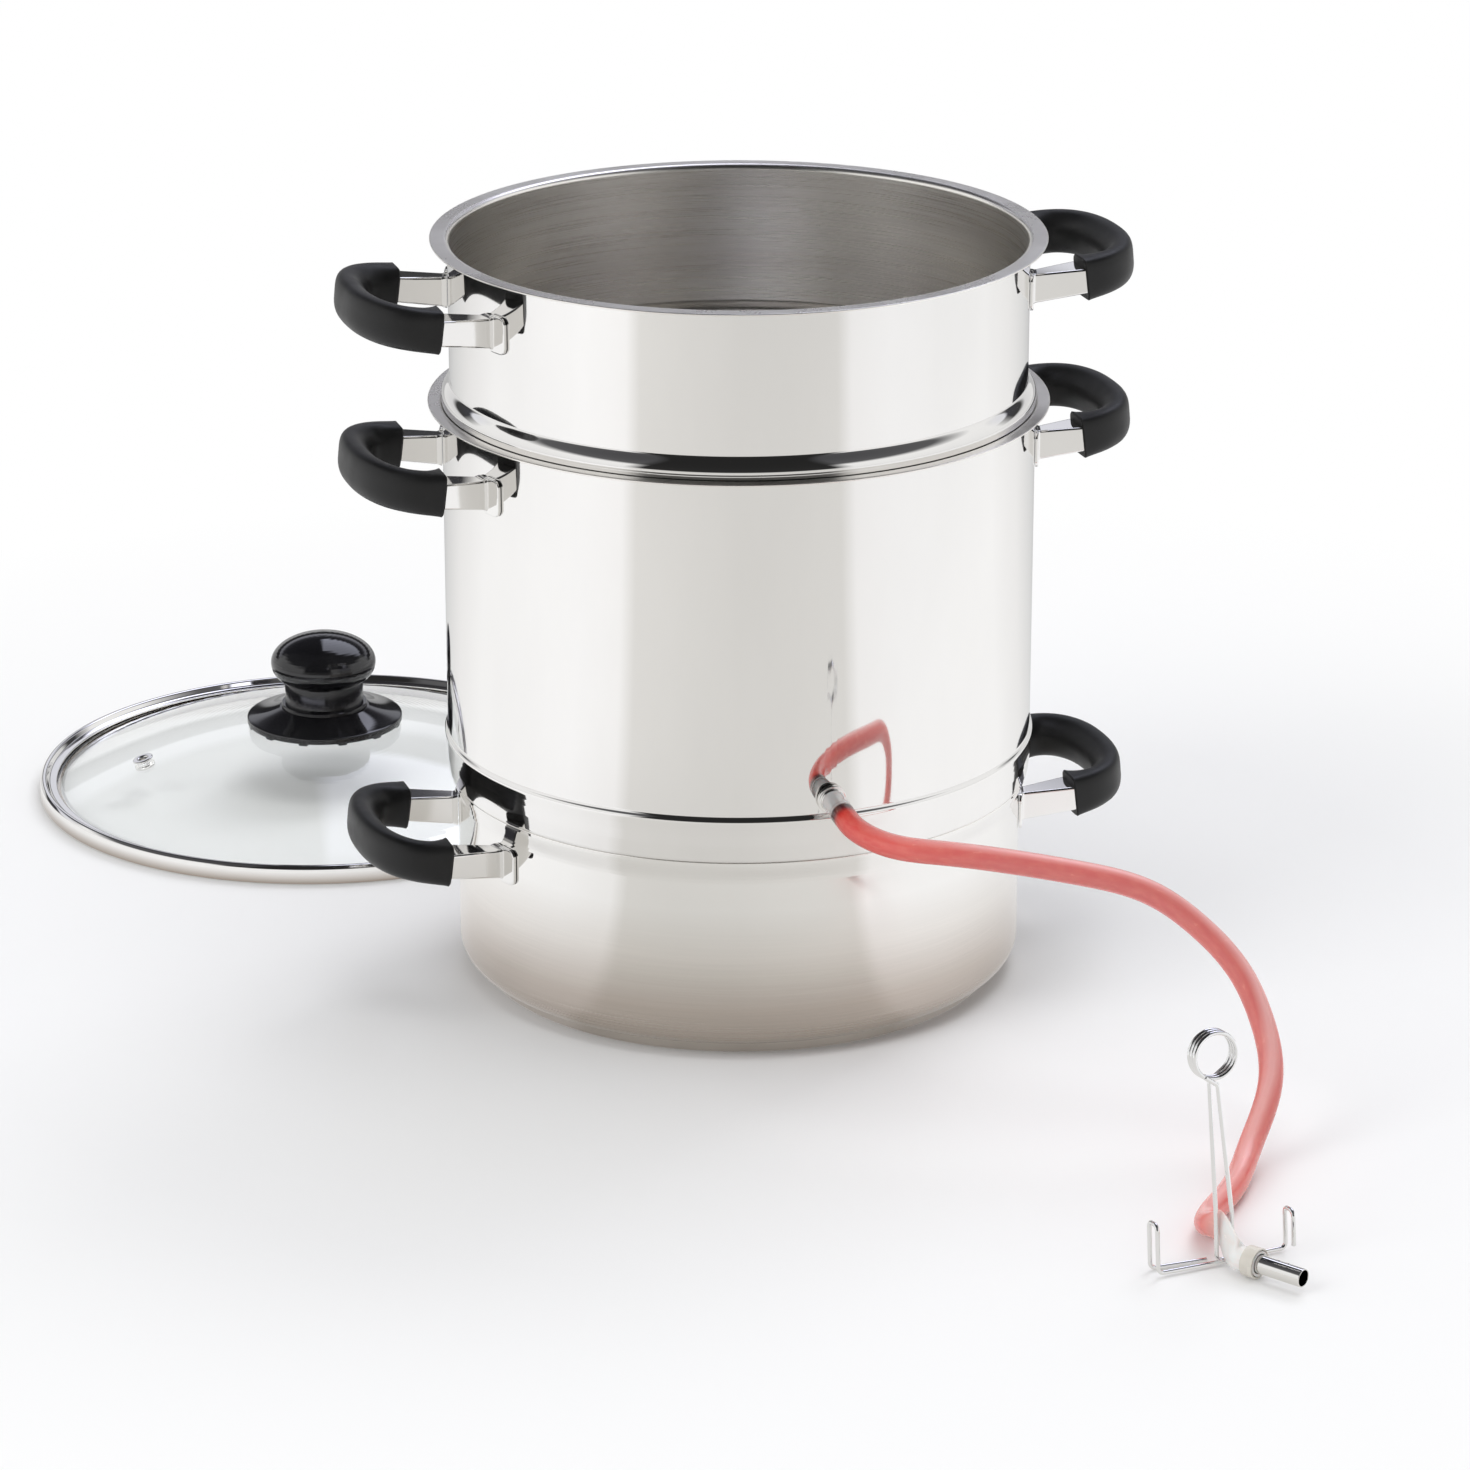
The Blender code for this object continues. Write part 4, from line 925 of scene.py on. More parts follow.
def fruit_basket(steel, inside):
    """The basket's wall, which sits on the kettle's rim by its bead, and its floor with rings of holes."""
    reach = (LIP_FILLET + GAP) * math.sqrt(0.5)
    run = SEAT_RUN * math.sqrt(0.5)
    seat_r = KETTLE_R - SHEET + LIP_FILLET - reach
    seat_z = KETTLE_TOP_Z - LIP_FILLET + reach
    floor = BASKET_TOP_Z - BASKET_DEPTH
    line = lip(BASKET_R, BASKET_LIP, BASKET_TOP_Z)
    for i in range(BEAD_STEPS + 1):
        t = i / BEAD_STEPS
        out = math.sin(t * math.pi / 2) ** BEAD_POWER
        line.append((BASKET_R + BEAD_OUT * out, KETTLE_TOP_Z + BEAD_H * (1 - t * BEAD_FALL)))
    line += [
        (BASKET_R + BEAD_OUT * BEAD_END[0], KETTLE_TOP_Z + BEAD_H * BEAD_END[1]),
        (seat_r + run, seat_z + run), (seat_r - run, seat_z - run),
        (BASKET_NEST_R, KETTLE_TOP_Z - NEST_DROP),
    ]
    line += foot_corner(BASKET_NEST_R, floor, BASKET_CORNER, BASKET_CORNER_STEPS)
    outline, inner = pot_outline(line)
    wall = turned_mesh("basket_wall", outline, POT_STEPS, inner)
    edge_r = line[-1][0]
    disc = [(0, floor + SHEET), (edge_r, floor + SHEET), (edge_r, floor), (0, floor)]
    holes = []
    for ring in range(STRAINER_RINGS + 1):
        count = max(STRAINER_PER_RING * ring, 1)
        for i in range(count):
            angle = 2 * math.pi * (i + ring / 2) / count
            reach = STRAINER_RING * ring
            place = Matrix.Translation((reach * math.cos(angle), reach * math.sin(angle), floor))
            holes.append(rod_mesh(STRAINER_HOLE_R, -SHEET * 2, SHEET * 3, STRAINER_HOLE_STEPS, place))
    disc = cut_mesh(turned_mesh("basket_floor", disc, POT_STEPS), holes)
    disc.polygons.foreach_set("material_index", [1] * len(disc.polygons))
    mesh = joined_mesh("fruit_basket_shell", [wall, disc])
    body = "fruit_basket"
    finish_mesh("fruit_basket_shell", mesh, [steel, inside], body, [body])


# Handles


def squircle(angle, half_across, half_up, power):
    across = math.copysign(abs(math.cos(angle)) ** power, math.cos(angle)) * half_across
    up = math.copysign(abs(math.sin(angle)) ** power, math.sin(angle)) * half_up
    return across, up


def tilt_at(foot_x):
    return (
        Matrix.Translation((foot_x, 0, 0))
        @ Matrix.Rotation(-HANDLE_TILT, 4, "Y")
        @ Matrix.Translation((-foot_x, 0, 0))
    )


def rounded_box_ring(half_across, half_up, radius, steps=BOX_CORNER_STEPS):
    """The outline of a box with round corners, with a point beside each corner to keep its sides flat."""
    ring = []
    for across_sign, up_sign, turn in ((1, 1, 0), (-1, 1, 90), (-1, -1, 180), (1, -1, 270)):
        corner = (across_sign * (half_across - radius), up_sign * (half_up - radius))
        points = [Vector(point) for point in arc(corner, radius, turn, turn + 90, steps)]
        first = points[0] - Vector(corner)
        last = points[-1] - Vector(corner)
        ring += [points[0] - last * BOX_SIDE_SHARE, *points, points[-1] - first * BOX_SIDE_SHARE]
    return ring


def arm_meshes(radius, side):
    """One formed arm and its foot plate, which follows the pot's round wall."""
    foot_x = math.sqrt(radius**2 - ARM_SPREAD**2)
    tilt = tilt_at(foot_x)
    reach = GRIP_X - ARM_SHORT - foot_x
    arm = []
    for at, flare in (*ARM_FOOT, (reach, 0.0)):
        width, height, middle = (a + (b - a) * at / reach for a, b in zip(ARM_ROOT, ARM_END))
        wall = radius + GAP + (PLATE_THICK * ARM_FOOT_BITE if at else 0)
        ring = []
        for across, up in rounded_box_ring(width / 2 + flare, height / 2 + flare, ARM_CORNER):
            crown = -ARM_CROWN * side * across if up > 0 else 0
            point = tilt @ Vector((foot_x + at, side * middle + across, up + crown))
            if at < reach:
                point.x = math.sqrt(wall**2 - point.y**2) + at
            ring.append(point)
        arm.append(ring)
    turn = side * math.asin((ARM_SPREAD + PLATE_OUTWARD) / radius)
    plate = []
    for layer, inset in PLATE_LAYERS:
        out = radius + GAP + PLATE_THICK * layer
        ring = []
        for across, up in rounded_box_ring(*(size - inset for size in PLATE_SIZES), PLATE_CORNER_STEPS):
            angle = turn + across / radius
            ring.append(Vector((out * math.cos(angle), out * math.sin(angle), up)))
        plate.append(ring)
    return [lofted_mesh("arm", arm), lofted_mesh("plate", plate)]


def grip_mesh():
    """The bow of a grip: squared where it meets the arms, and drawn to a soft ridge round its bend."""
    start = [Vector((GRIP_X + GRIP_STRAIGHT * share, -ARM_SPREAD, 0)) for share in (0, 0.5)]
    path = list(start)
    for i in range(GRIP_STEPS + 1):
        angle = math.pi * (i / GRIP_STEPS - 0.5)
        out, across = squircle(angle, GRIP_DEPTH - GRIP_STRAIGHT, ARM_SPREAD, GRIP_BOW)
        path.append(Vector((GRIP_X + GRIP_STRAIGHT + max(out, 0), across, 0)))
    path += [Vector((point.x, ARM_SPREAD, 0)) for point in start[::-1]]
    lengths = lengths_along(path)
    half_up = GRIP_HEIGHT / 2
    rings = []
    for point, way, length in zip(path, ways_along(path), lengths):
        outward = Vector((way.y, -way.x, 0))
        end = min(length, lengths[-1] - length)
        square = max(1 - end / GRIP_SQUARE_RUN, 0) ** GRIP_SQUARE_FADE
        half_across = GRIP_THICK / 2 + GRIP_SQUARE_OUT * square - GRIP_DRAWN_IN
        ring = []
        for k in range(GRIP_SIDES):
            angle = 2 * math.pi * k / GRIP_SIDES
            across, up = squircle(angle, half_across, half_up, GRIP_POWER - GRIP_SQUARE_POWER * square)
            above = max(up / half_up, 0)
            across += GRIP_RIDGE * (1 - square) * above**2
            up -= GRIP_SINK * max(-across / half_across, 0) * (1 - square) * above
            ring.append(point + outward * across + Vector((0, 0, up)))
        rings.append(ring)
    tuck = Vector((GRIP_EDGE, 0, 0))
    return lofted_mesh("grip", with_soft_ends(rings, (tuck, tuck), GRIP_END_SHARE))


def handles(pot, body, radius, top, steel, black):
    """Both handles of a pot. The left one is the right one turned by half a turn, and its arms swap sides."""
    tilt = tilt_at(math.sqrt(radius**2 - ARM_SPREAD**2))
    height = top - HANDLE_DROPS[pot]
    for word, turn in (("right", 0), ("left", math.pi)):
        place = Matrix.Rotation(turn, 4, "Z") @ Matrix.Translation((0, 0, height))
        for side_word, side in (("front", -1), ("back", 1)):
            mesh = joined_mesh("arm", arm_meshes(radius, -side if word == "left" else side))
            mesh.transform(place)
            node = f"{pot}_{word}_arm_{side_word}"
            finish_mesh(node + "_formed", mesh, [steel], body, [node])
        mesh = grip_mesh()
        mesh.transform(place @ tilt)
        node = f"{pot}_{word}_grip"
        finish_mesh(node + "_moulded", mesh, [black], body, [node])


# Spout and hose


def juice_spout(steel):
    face = GAP + FLANGE_THICK
    outline = [
        (SPOUT_BORE_R, SPOUT_LENGTH),
        *[(SPOUT_R - inward, SPOUT_LENGTH - back) for back, inward in SPOUT_TIP],
        (SPOUT_R, face + FLANGE_STEP), (FLANGE_STEP_R, face + FLANGE_STEP), (FLANGE_STEP_R, face),
        (FLANGE_R, face), (FLANGE_R, FLANGE_FOOT), (SPOUT_R, FLANGE_FOOT), (SPOUT_R, -SPOUT_INSIDE),
        (SPOUT_BORE_R, -SPOUT_INSIDE),
    ]
    turned("juice_spout_nipple", soften(outline, SPOUT_ROUND), [steel], "juice_kettle", ["juice_spout"],
           TUBE_STEPS, way_matrix(SPOUT_AT, SPOUT_WAY))


def clamped_spline(points, start_way, end_way):
    """A function of length along a cubic spline through points, with its two end directions given."""
    p = np.array(points, float)
    chord = np.linalg.norm(np.diff(p, axis=0), axis=1)
    at = np.concatenate([[0], np.cumsum(chord)])
    n = len(p)
    system = np.zeros((n, n))
    wanted = np.zeros((n, 3))
    system[0, 0], system[0, 1] = 2 * chord[0], chord[0]
    wanted[0] = 6 * ((p[1] - p[0]) / chord[0] - np.array(start_way))
    system[-1, -1], system[-1, -2] = 2 * chord[-1], chord[-1]
    wanted[-1] = 6 * (np.array(end_way) - (p[-1] - p[-2]) / chord[-1])
    for i in range(1, n - 1):
        system[i, i - 1 : i + 2] = chord[i - 1], 2 * (chord[i - 1] + chord[i]), chord[i]
        wanted[i] = 6 * ((p[i + 1] - p[i]) / chord[i] - (p[i] - p[i - 1]) / chord[i - 1])
    bend = np.linalg.solve(system, wanted)

    def point(distance):
        i = min(int(np.searchsorted(at, distance, side="right")) - 1, n - 2)
        left = at[i + 1] - distance
        right = distance - at[i]
        curve = (bend[i] * left**3 + bend[i + 1] * right**3) / (6 * chord[i])
        straight = (p[i] / chord[i] - bend[i] * chord[i] / 6) * left
        straight += (p[i + 1] / chord[i] - bend[i + 1] * chord[i] / 6) * right
        return curve + straight

    return point, at


def hose_curve():
    """The hose's bent part: its point at a distance, its ends, its length and where the clamp holds it."""
    leave = SPOUT_AT + SPOUT_WAY * HOSE_START_STRAIGHT
    arrive = Vector(HOSE_END) - HOSE_END_WAY * HOSE_END_STRAIGHT
    point, at = clamped_spline([leave, *HOSE_ROUTE, arrive], SPOUT_WAY, HOSE_END_WAY)
    return point, leave, arrive, at[-1], at[1 + PINCH_POINT]


def hose_line():
    """Points along the hose's middle, and each one's distance from the clamp's jaws."""
    begin = SPOUT_AT + SPOUT_WAY * (GAP + FLANGE_THICK + FLANGE_STEP + GAP)
    point, leave, arrive, length, pinch = hose_curve()
    line = [(begin.lerp(leave, i / HOSE_START_STEPS), pinch) for i in range(HOSE_START_STEPS)]
    steps = math.ceil(length / HOSE_SPACING)
    line += [(Vector(point(length * i / steps)), abs(length * i / steps - pinch)) for i in range(steps)]
    end = Vector(HOSE_END)
    line += [(arrive.lerp(end, i / HOSE_END_STEPS), PINCH_REACH) for i in range(HOSE_END_STEPS + 1)]
    return line


def juice_hose(silicone):
    """The hose with its bore, round along its length and pressed flat between the clamp's strands."""
    line = hose_line()
    path = [centre for centre, _ in line]
    lengths = lengths_along(path)
    shape = bmesh.new()
    layer = shape.loops.layers.uv.new("UVMap")
    rows = {"outer": [], "bore": []}
    for (centre, from_pinch), way, length in zip(line, ways_along(path), lengths):
        across = way.cross(Vector((0, 0, 1))).normalized()
        up = across.cross(way)
        share = ease(min(max((PINCH_REACH - from_pinch) / (PINCH_REACH - PINCH_FLAT), 0), 1))
        for key, radius, thick, tall in (
            ("outer", HOSE_R, PINCH_THICK, PINCH_TALL),
            ("bore", HOSE_BORE_R, PINCH_SLIT, PINCH_TALL - 2 * (HOSE_R - HOSE_BORE_R)),
        ):
            wide = across * (radius + (thick / 2 - radius) * share)
            high = up * (radius + (tall / 2 - radius) * share)
            ring = [centre + wide * cosine + high * sine for cosine, sine in circle(HOSE_SIDES)]
            rows[key].append(([shape.verts.new(point) for point in ring], length / lengths[-1]))
    rows = rows["outer"] + rows["bore"][::-1]
    for (a, u), (b, next_u) in zip(rows, rows[1:] + rows[:1]):
        for k in range(HOSE_SIDES):
            n = (k + 1) % HOSE_SIDES
            face = shape.faces.new((a[k], a[n], b[n], b[k]))
            for loop, place in zip(face.loops, ((u, k), (u, k + 1), (next_u, k + 1), (next_u, k))):
                loop[layer].uv = (place[0], place[1] / HOSE_SIDES)
    bmesh.ops.recalc_face_normals(shape, faces=shape.faces)
    mesh = shape_mesh("juice_hose_tube", shape)
    hose = finish_mesh("juice_hose_tube", mesh, [silicone], "hose", ["juice_hose"])
    return hose, [tuple(point) for point in path]


def hose_outlet(steel, clear):
    matrix = way_matrix(HOSE_END, HOSE_END_WAY)
    bore = HOSE_R + GAP
    outside = bore / math.cos(math.pi / COLLAR_SIDES) + COLLAR_WALL
    collar = [(outside, 0), (bore, 0), (bore, -COLLAR_LENGTH), (outside, -COLLAR_LENGTH)]
    pipe = [
        (OUTLET_R, OUTLET_OUT), (OUTLET_R, -OUTLET_IN), (OUTLET_BORE_R, -OUTLET_IN),
        (OUTLET_BORE_R, OUTLET_OUT),
    ]
    return [
        turned("hose_collar_band", soften(collar, COLLAR_ROUND), [clear], "hose", ["hose_collar"],
               TUBE_STEPS, matrix),
        turned("outlet_tube_pipe", soften(pipe, OUTLET_ROUND), [steel], "hose", ["outlet_tube"],
               TUBE_STEPS, matrix),
    ]


# Clamp


def rounded_path(points):
    """The line through points with its corners bent to arcs."""
    path = [Vector(points[0])]
    for before, corner, after in zip(points, points[1:], points[2:]):
        corner = Vector(corner)
        back = Vector(before) - corner
        onward = Vector(after) - corner
        half = back.angle(onward) / 2
        reach = min(WIRE_BEND / math.tan(half), back.length / 2, onward.length / 2)
        bend = reach * math.tan(half)
        middle = corner + (back.normalized() + onward.normalized()).normalized() * (bend / math.sin(half))
        first = corner + back.normalized() * reach - middle
        last = corner + onward.normalized() * reach - middle
        sweep = first.angle(last)
        for i in range(BEND_STEPS + 1):
            share = i / BEND_STEPS
            spoke = first * math.sin((1 - share) * sweep) + last * math.sin(share * sweep)
            path.append(middle + spoke / math.sin(sweep))
    path.append(Vector(points[-1]))
    return path


def wire(name, points, matrix, look, body, node):
    """A round wire along points, its ends slightly domed, as a skinned mesh."""
    line = [points[0]]
    for point in points[1:]:
        if (point - line[-1]).length > WIRE_LEAST_STEP:
            line.append(point)
    ways = ways_along(line)
    normal = ways[0].orthogonal().normalized()
    rings = []
    for point, way in zip(line, ways):
        normal = (normal - way * normal.dot(way)).normalized()
        across = way.cross(normal)
        round_wire = [normal * cosine + across * sine for cosine, sine in circle(WIRE_SIDES)]
        rings.append([point + spoke * WIRE_R for spoke in round_wire])
    tucks = (ways[0] * WIRE_R * WIRE_END, -ways[-1] * WIRE_R * WIRE_END)
    mesh = lofted_mesh(name, with_soft_ends(rings, tucks, WIRE_END_SHARE))
    mesh.transform(matrix)
    return finish_mesh(name, mesh, [look], body, [node])


def hose_clamp(look):
    """The bent wire as two arms: one with the coil and the far loop, and one with the near loop."""
    point, _, _, _, pinch = hose_curve()
    way = point(pinch + PINCH_FLAT) - point(pinch - PINCH_FLAT)
    side = BAR_PASS / 2
    lift = WIRE_R + GAP + (LOOP_WIDTH - side) * math.sin(CLAMP_LEAN)
    x, y, _ = HOSE_ROUTE[PINCH_POINT]
    turn = Matrix.Rotation(math.atan2(way[0], -way[1]), 4, "Z") @ Matrix.Rotation(-CLAMP_LEAN, 4, "X")
    place = Matrix.Translation((x, y, lift)) @ turn
    sweep = COIL_END - COIL_START + COIL_TURNS * 2 * math.pi
    steps = round(sweep / (2 * math.pi) * CURL_POINTS)
    half = COIL_PITCH * sweep / (4 * math.pi)
    coil = []
    for i in range(steps + 1):
        angle = COIL_START + sweep * i / steps
        across = half - 2 * half * i / steps
        spoke = Vector((math.cos(angle), 0, math.sin(angle))) * COIL_R
        coil.append(Vector((COIL_ASIDE, across, COIL_HEIGHT)) + spoke)
    start_slope, end_slope = (Vector((-math.sin(a), 0, math.cos(a))) for a in (COIL_START, COIL_END))
    strand_top = STRAND_APART / 2
    corner_z = coil[0].z - (coil[0].x - COIL_ASIDE + strand_top) * start_slope.z / start_slope.x
    fixed = [
        (FAR_REACH, side - LOOP_WIDTH, LOOP_END_H), (FAR_REACH, side - LOOP_WIDTH, FAR_LOOP_H),
        (FAR_REACH, side, FAR_LOOP_H), (FAR_REACH, side, 0), (-STRAND_ASIDE, side, 0),
        (-STRAND_ASIDE, side, STRAND_BEND_H), (COIL_ASIDE - strand_top, half, corner_z), coil[0],
    ]
    swing = [
        coil[-1] + end_slope * GAP * COIL_END_SHARE,
        (COIL_ASIDE + strand_top, -half, corner_z),
        (STRAND_ASIDE, -side, STRAND_BEND_H),
        (STRAND_ASIDE, -side, 0),
        (-NEAR_REACH, -side, 0),
        (-NEAR_REACH, -side, NEAR_LOOP_H),
        (-NEAR_REACH, LOOP_WIDTH - side, NEAR_LOOP_H),
        (-NEAR_REACH, LOOP_WIDTH - side, 0),
        (-RETURN_END, RETURN_ASIDE, 0),
    ]
    return [
        wire("clamp_fixed_wire", rounded_path(fixed)[:-1] + coil, place, look, "hose", "clamp_fixed_arm"),
        wire("clamp_swing_wire", rounded_path(swing), place, look, "clamp_arm", "clamp_swing_arm"),
    ]


# Lid


def glass_z(radius):
    return GLASS_RIM_Z + GLASS_RISE * (1 - min(radius / GLASS_DOME_R, 1) ** 2)


def lid_piece(name, outline, look, node, steps=POT_STEPS, matrix=LID_AT):
    turned(name, outline, [look], "lid", [node], steps, matrix)


def vent_place():
    lean = Matrix.Rotation(math.atan(2 * GLASS_RISE * VENT_AT / GLASS_DOME_R**2), 4, "Y")
    at = Matrix.Translation((VENT_AT, 0, glass_z(VENT_AT)))
    return LID_AT @ Matrix.Rotation(VENT_ANGLE, 4, "Z") @ at @ lean


def lid_ring(steel):
    flange_low = GLASS_RIM_Z + GAP
    flange_top = flange_low + LID_RING_SHEET
    inward_and_up = [
        (LID_RING_EDGE, LID_RING_H), (0, LID_RING_H - LID_RING_EDGE), (0, 0), (LID_LOW_FLANGE, 0),
        (LID_LOW_FLANGE, LID_RING_SHEET), (LID_RING_SHEET, LID_RING_SHEET), (LID_RING_SHEET, flange_low),
        (LID_TOP_FLANGE, flange_low), (LID_TOP_FLANGE, flange_top), (2 * LID_RING_ROLL, flange_top),
        (LID_RING_ROLL + LID_RING_EDGE / 2, LID_RING_H),
    ]
    outline = soften([(LID_R - inward, up) for inward, up in inward_and_up], LID_RING_ROUND, 5)
    lid_piece("lid_ring_channel", outline, steel, "lid_ring")


def lid_glass(glass):
    top = [(GLASS_HOLE_R, glass_z(0))]
    radii = [GLASS_DOME_R * (i + 1) / GLASS_STEPS for i in range(GLASS_STEPS)]
    top += [(r, glass_z(r)) for r in radii]
    top.append((GLASS_R, GLASS_RIM_Z))
    low = [(r, z - GLASS_THICK) for r, z in top]
    outline = soften(top + low[::-1], GLASS_ROUND, GLASS_ROUND_STEPS, least=GLASS_LEAST)
    mesh = turned_mesh("lid_glass_dome", outline, POT_STEPS)
    mesh.transform(LID_AT)
    reach = GLASS_THICK * 2
    mesh = cut_mesh(mesh, [rod_mesh(VENT_R + GAP, -reach, reach, VENT_HOLE_STEPS, vent_place())])
    finish_mesh("lid_glass_dome", mesh, [glass], "lid", ["lid_glass"])


def lid_vent(steel):
    low = -GLASS_THICK - GAP
    top = GAP * 2
    outline = [
        (VENT_FLANGE_R, top), (VENT_R, top), (VENT_R, low), (VENT_FLANGE_R, low),
        (VENT_FLANGE_R, low - VENT_FLANGE), (VENT_BORE_R, low - VENT_FLANGE),
        (VENT_BORE_R, top + VENT_FLANGE), (VENT_FLANGE_R, top + VENT_FLANGE),
    ]
    outline = soften(outline, VENT_ROUND, 5)
    lid_piece("lid_vent_eyelet", outline, steel, "lid_vent", TUBE_STEPS, vent_place())


def knob_skirt(black):
    """The dished disc under the knob, with a hollow round its hub and small feet at its edge."""
    low = GLASS_TOP_Z + GAP
    top = low + SKIRT_H
    edge = glass_z(SKIRT_R - SKIRT_FOOT) + GAP + SKIRT_FOOT_H
    outline = [(SKIRT_TOP_R, top)]
    for i in range(1, SKIRT_SAG_STEPS):
        t = i / SKIRT_SAG_STEPS
        z = top + (edge + SKIRT_EDGE - top) * t - SKIRT_SAG * math.sin(math.pi * t)
        outline.append((SKIRT_TOP_R + (SKIRT_R - SKIRT_TOP_R) * t, z))
    outline += [
        (SKIRT_R, edge + SKIRT_EDGE), (SKIRT_R, edge - SKIRT_DROP), (SKIRT_TOP_R, top - SKIRT_HOLLOW),
        (SKIRT_HUB_R, top - SKIRT_HOLLOW), (SKIRT_HUB_R, low), (SCREW_R + GAP, low), (SCREW_R + GAP, top),
    ]
    dish = turned_mesh("skirt", soften(outline, SKIRT_ROUND), KNOB_STEPS)
    foot_height = SKIRT_FOOT_H + SKIRT_FOOT_SINK
    middle = (SKIRT_R - SKIRT_FOOT / 2 - GAP, 0, edge + SKIRT_FOOT_SINK - foot_height / 2)
    size = (SKIRT_FOOT, SKIRT_FOOT * SKIRT_FOOT_WIDTH, foot_height, 1)
    foot = Matrix.Translation(middle) @ Matrix.Diagonal(size)
    shape = bmesh.new()
    for i in range(SKIRT_FEET):
        place = Matrix.Rotation(2 * math.pi * i / SKIRT_FEET, 4, "Z")
        bmesh.ops.create_cube(shape, size=1, matrix=place @ foot)
    edges = list(shape.edges)
    bmesh.ops.bevel(shape, geom=edges, offset=SKIRT_FOOT_ROUND, segments=2, profile=0.5, affect="EDGES")
    mesh = joined_mesh("knob_skirt", [dish, shape_mesh("feet", shape)])
    mesh.transform(LID_AT)
    finish_mesh("lid_knob_skirt_dish", mesh, [black], "lid", ["lid_knob_skirt"])


def lid_knob(black):
    low = GLASS_TOP_Z + GAP + SKIRT_H + GAP
    neck_top = low + KNOB_NECK_H
    widest = neck_top + KNOB_UNDER_H
    collar_top = low + KNOB_COLLAR_H
    screw_top = GLASS_TOP_Z + SCREW_UP + GAP
    outline = [(0, widest + KNOB_DOME_H)]
    for i in range(1, KNOB_DOME_STEPS + 1):
        angle = math.pi / 2 * (1 - i / KNOB_DOME_STEPS)
        outline.append((KNOB_R * math.cos(angle), widest + KNOB_DOME_H * math.sin(angle)))
    for i in range(1, KNOB_UNDER_STEPS + 1):
        t = i / KNOB_UNDER_STEPS
        r = KNOB_R + (KNOB_NECK_R - KNOB_R) * t**KNOB_UNDER_POWER
        outline.append((r, widest - KNOB_UNDER_H * math.sin(t * math.pi / 2)))
    outline += [(KNOB_NECK_R - inward, neck_top - down) for inward, down in KNOB_NECK_TOP]
    outline += [(KNOB_NECK_R - inward, collar_top + up) for inward, up in KNOB_NECK_FOOT]
    outline += [
        (KNOB_COLLAR_R - KNOB_COLLAR_EDGE[0], collar_top),
        (KNOB_COLLAR_R, collar_top - KNOB_COLLAR_EDGE[1]), (KNOB_COLLAR_R, low), (SCREW_R + GAP, low),
        (SCREW_R + GAP, screw_top), (0, screw_top),
    ]
    lid_piece("lid_knob_head", outline, black, "lid_knob", KNOB_STEPS)


def knob_screw(steel, rubber):
    under = GLASS_TOP_Z - GLASS_THICK - GAP
    low = under - WASHER_THICK
    bore = SCREW_R + GAP
    washer = soften([(WASHER_R, under), (WASHER_R, low), (bore, low), (bore, under)], WASHER_ROUND)
    lid_piece("lid_washer_soft", washer, rubber, "lid_washer", SMALL_STEPS)
    head = low - GAP
    outline = [
        (0, GLASS_TOP_Z + SCREW_UP), (SCREW_R, GLASS_TOP_Z + SCREW_UP), (SCREW_R, head),
        (SCREW_HEAD_R, head), (SCREW_HEAD_R, head - SCREW_HEAD_H / 2), (SCREW_R, head - SCREW_HEAD_H),
        (0, head - SCREW_HEAD_H),
    ]
    mesh = turned_mesh("screw", soften(outline, SCREW_ROUND, closed=False), SCREW_STEPS)
    slot = bmesh.new()
    size = Matrix.Diagonal((SCREW_HEAD_R * 3, *SCREW_SLOT, 1))
    bmesh.ops.create_cube(slot, size=1, matrix=Matrix.Translation((0, 0, head - SCREW_HEAD_H)) @ size)
    mesh = cut_mesh(mesh, [shape_mesh("slot", slot)])
    mesh.transform(LID_AT)
    finish_mesh("lid_screw_slotted", mesh, [steel], "lid", ["lid_knob_screw"])


# Floor, backdrop and light


def floor_material():
    """White card. Metal sees it brighter at the pots' sides than in front of them."""
    look = Look("studio_floor", FLOOR_TONE, 0.6, Specular_IOR_Level=0.2)
    parts = look.parts()
    stops = (
        (0.0, (0.74, 0.73, 0.705)), (0.205, (0.77, 0.76, 0.735)), (0.235, (0.96, 0.955, 0.95)), (0.33, 1.0),
        (0.60, (1.0, 1.0, 0.995)), (0.71, (0.90, 0.895, 0.885)), (0.82, (0.70, 0.70, 0.69)),
        (0.92, (0.48, 0.48, 0.475)), (1.0, 0.36),
    )
    tone = look.ramp(look.heading(parts)[0], stops)
    rays = look.add("ShaderNodeLightPath").outputs
    mirrored = look.times(rays["Is Glossy Ray"], look.math("SUBTRACT", 1.0, rays["Is Transmission Ray"]))
    half = look.mix(1.0, tone, FLOOR_MIRRORED, "MULTIPLY")
    look.put("Base Color", look.mix(mirrored, FLOOR_TONE, half))
    look.put("Emission Color", tone)
    look.put("Emission Strength", look.times(mirrored, FLOOR_GLOW))
    seen = look.times(look.spread(look.from_axis(parts), 0.0, 1.0, *WHITE_AT), rays["Is Camera Ray"])
    look.cover(seen, look.add("ShaderNodeEmission", {"Color": WHITE}).outputs["Emission"])
    return look.material


def stage_floor():
    shape = bmesh.new()
    bmesh.ops.create_circle(shape, cap_ends=True, segments=FLOOR_STEPS, radius=FLOOR_R)
    mesh = shape_mesh("floor", shape)
    floor = bpy.data.objects.new("floor", mesh)
    mesh.materials.append(floor_material())
    bpy.context.scene.collection.objects.link(floor)


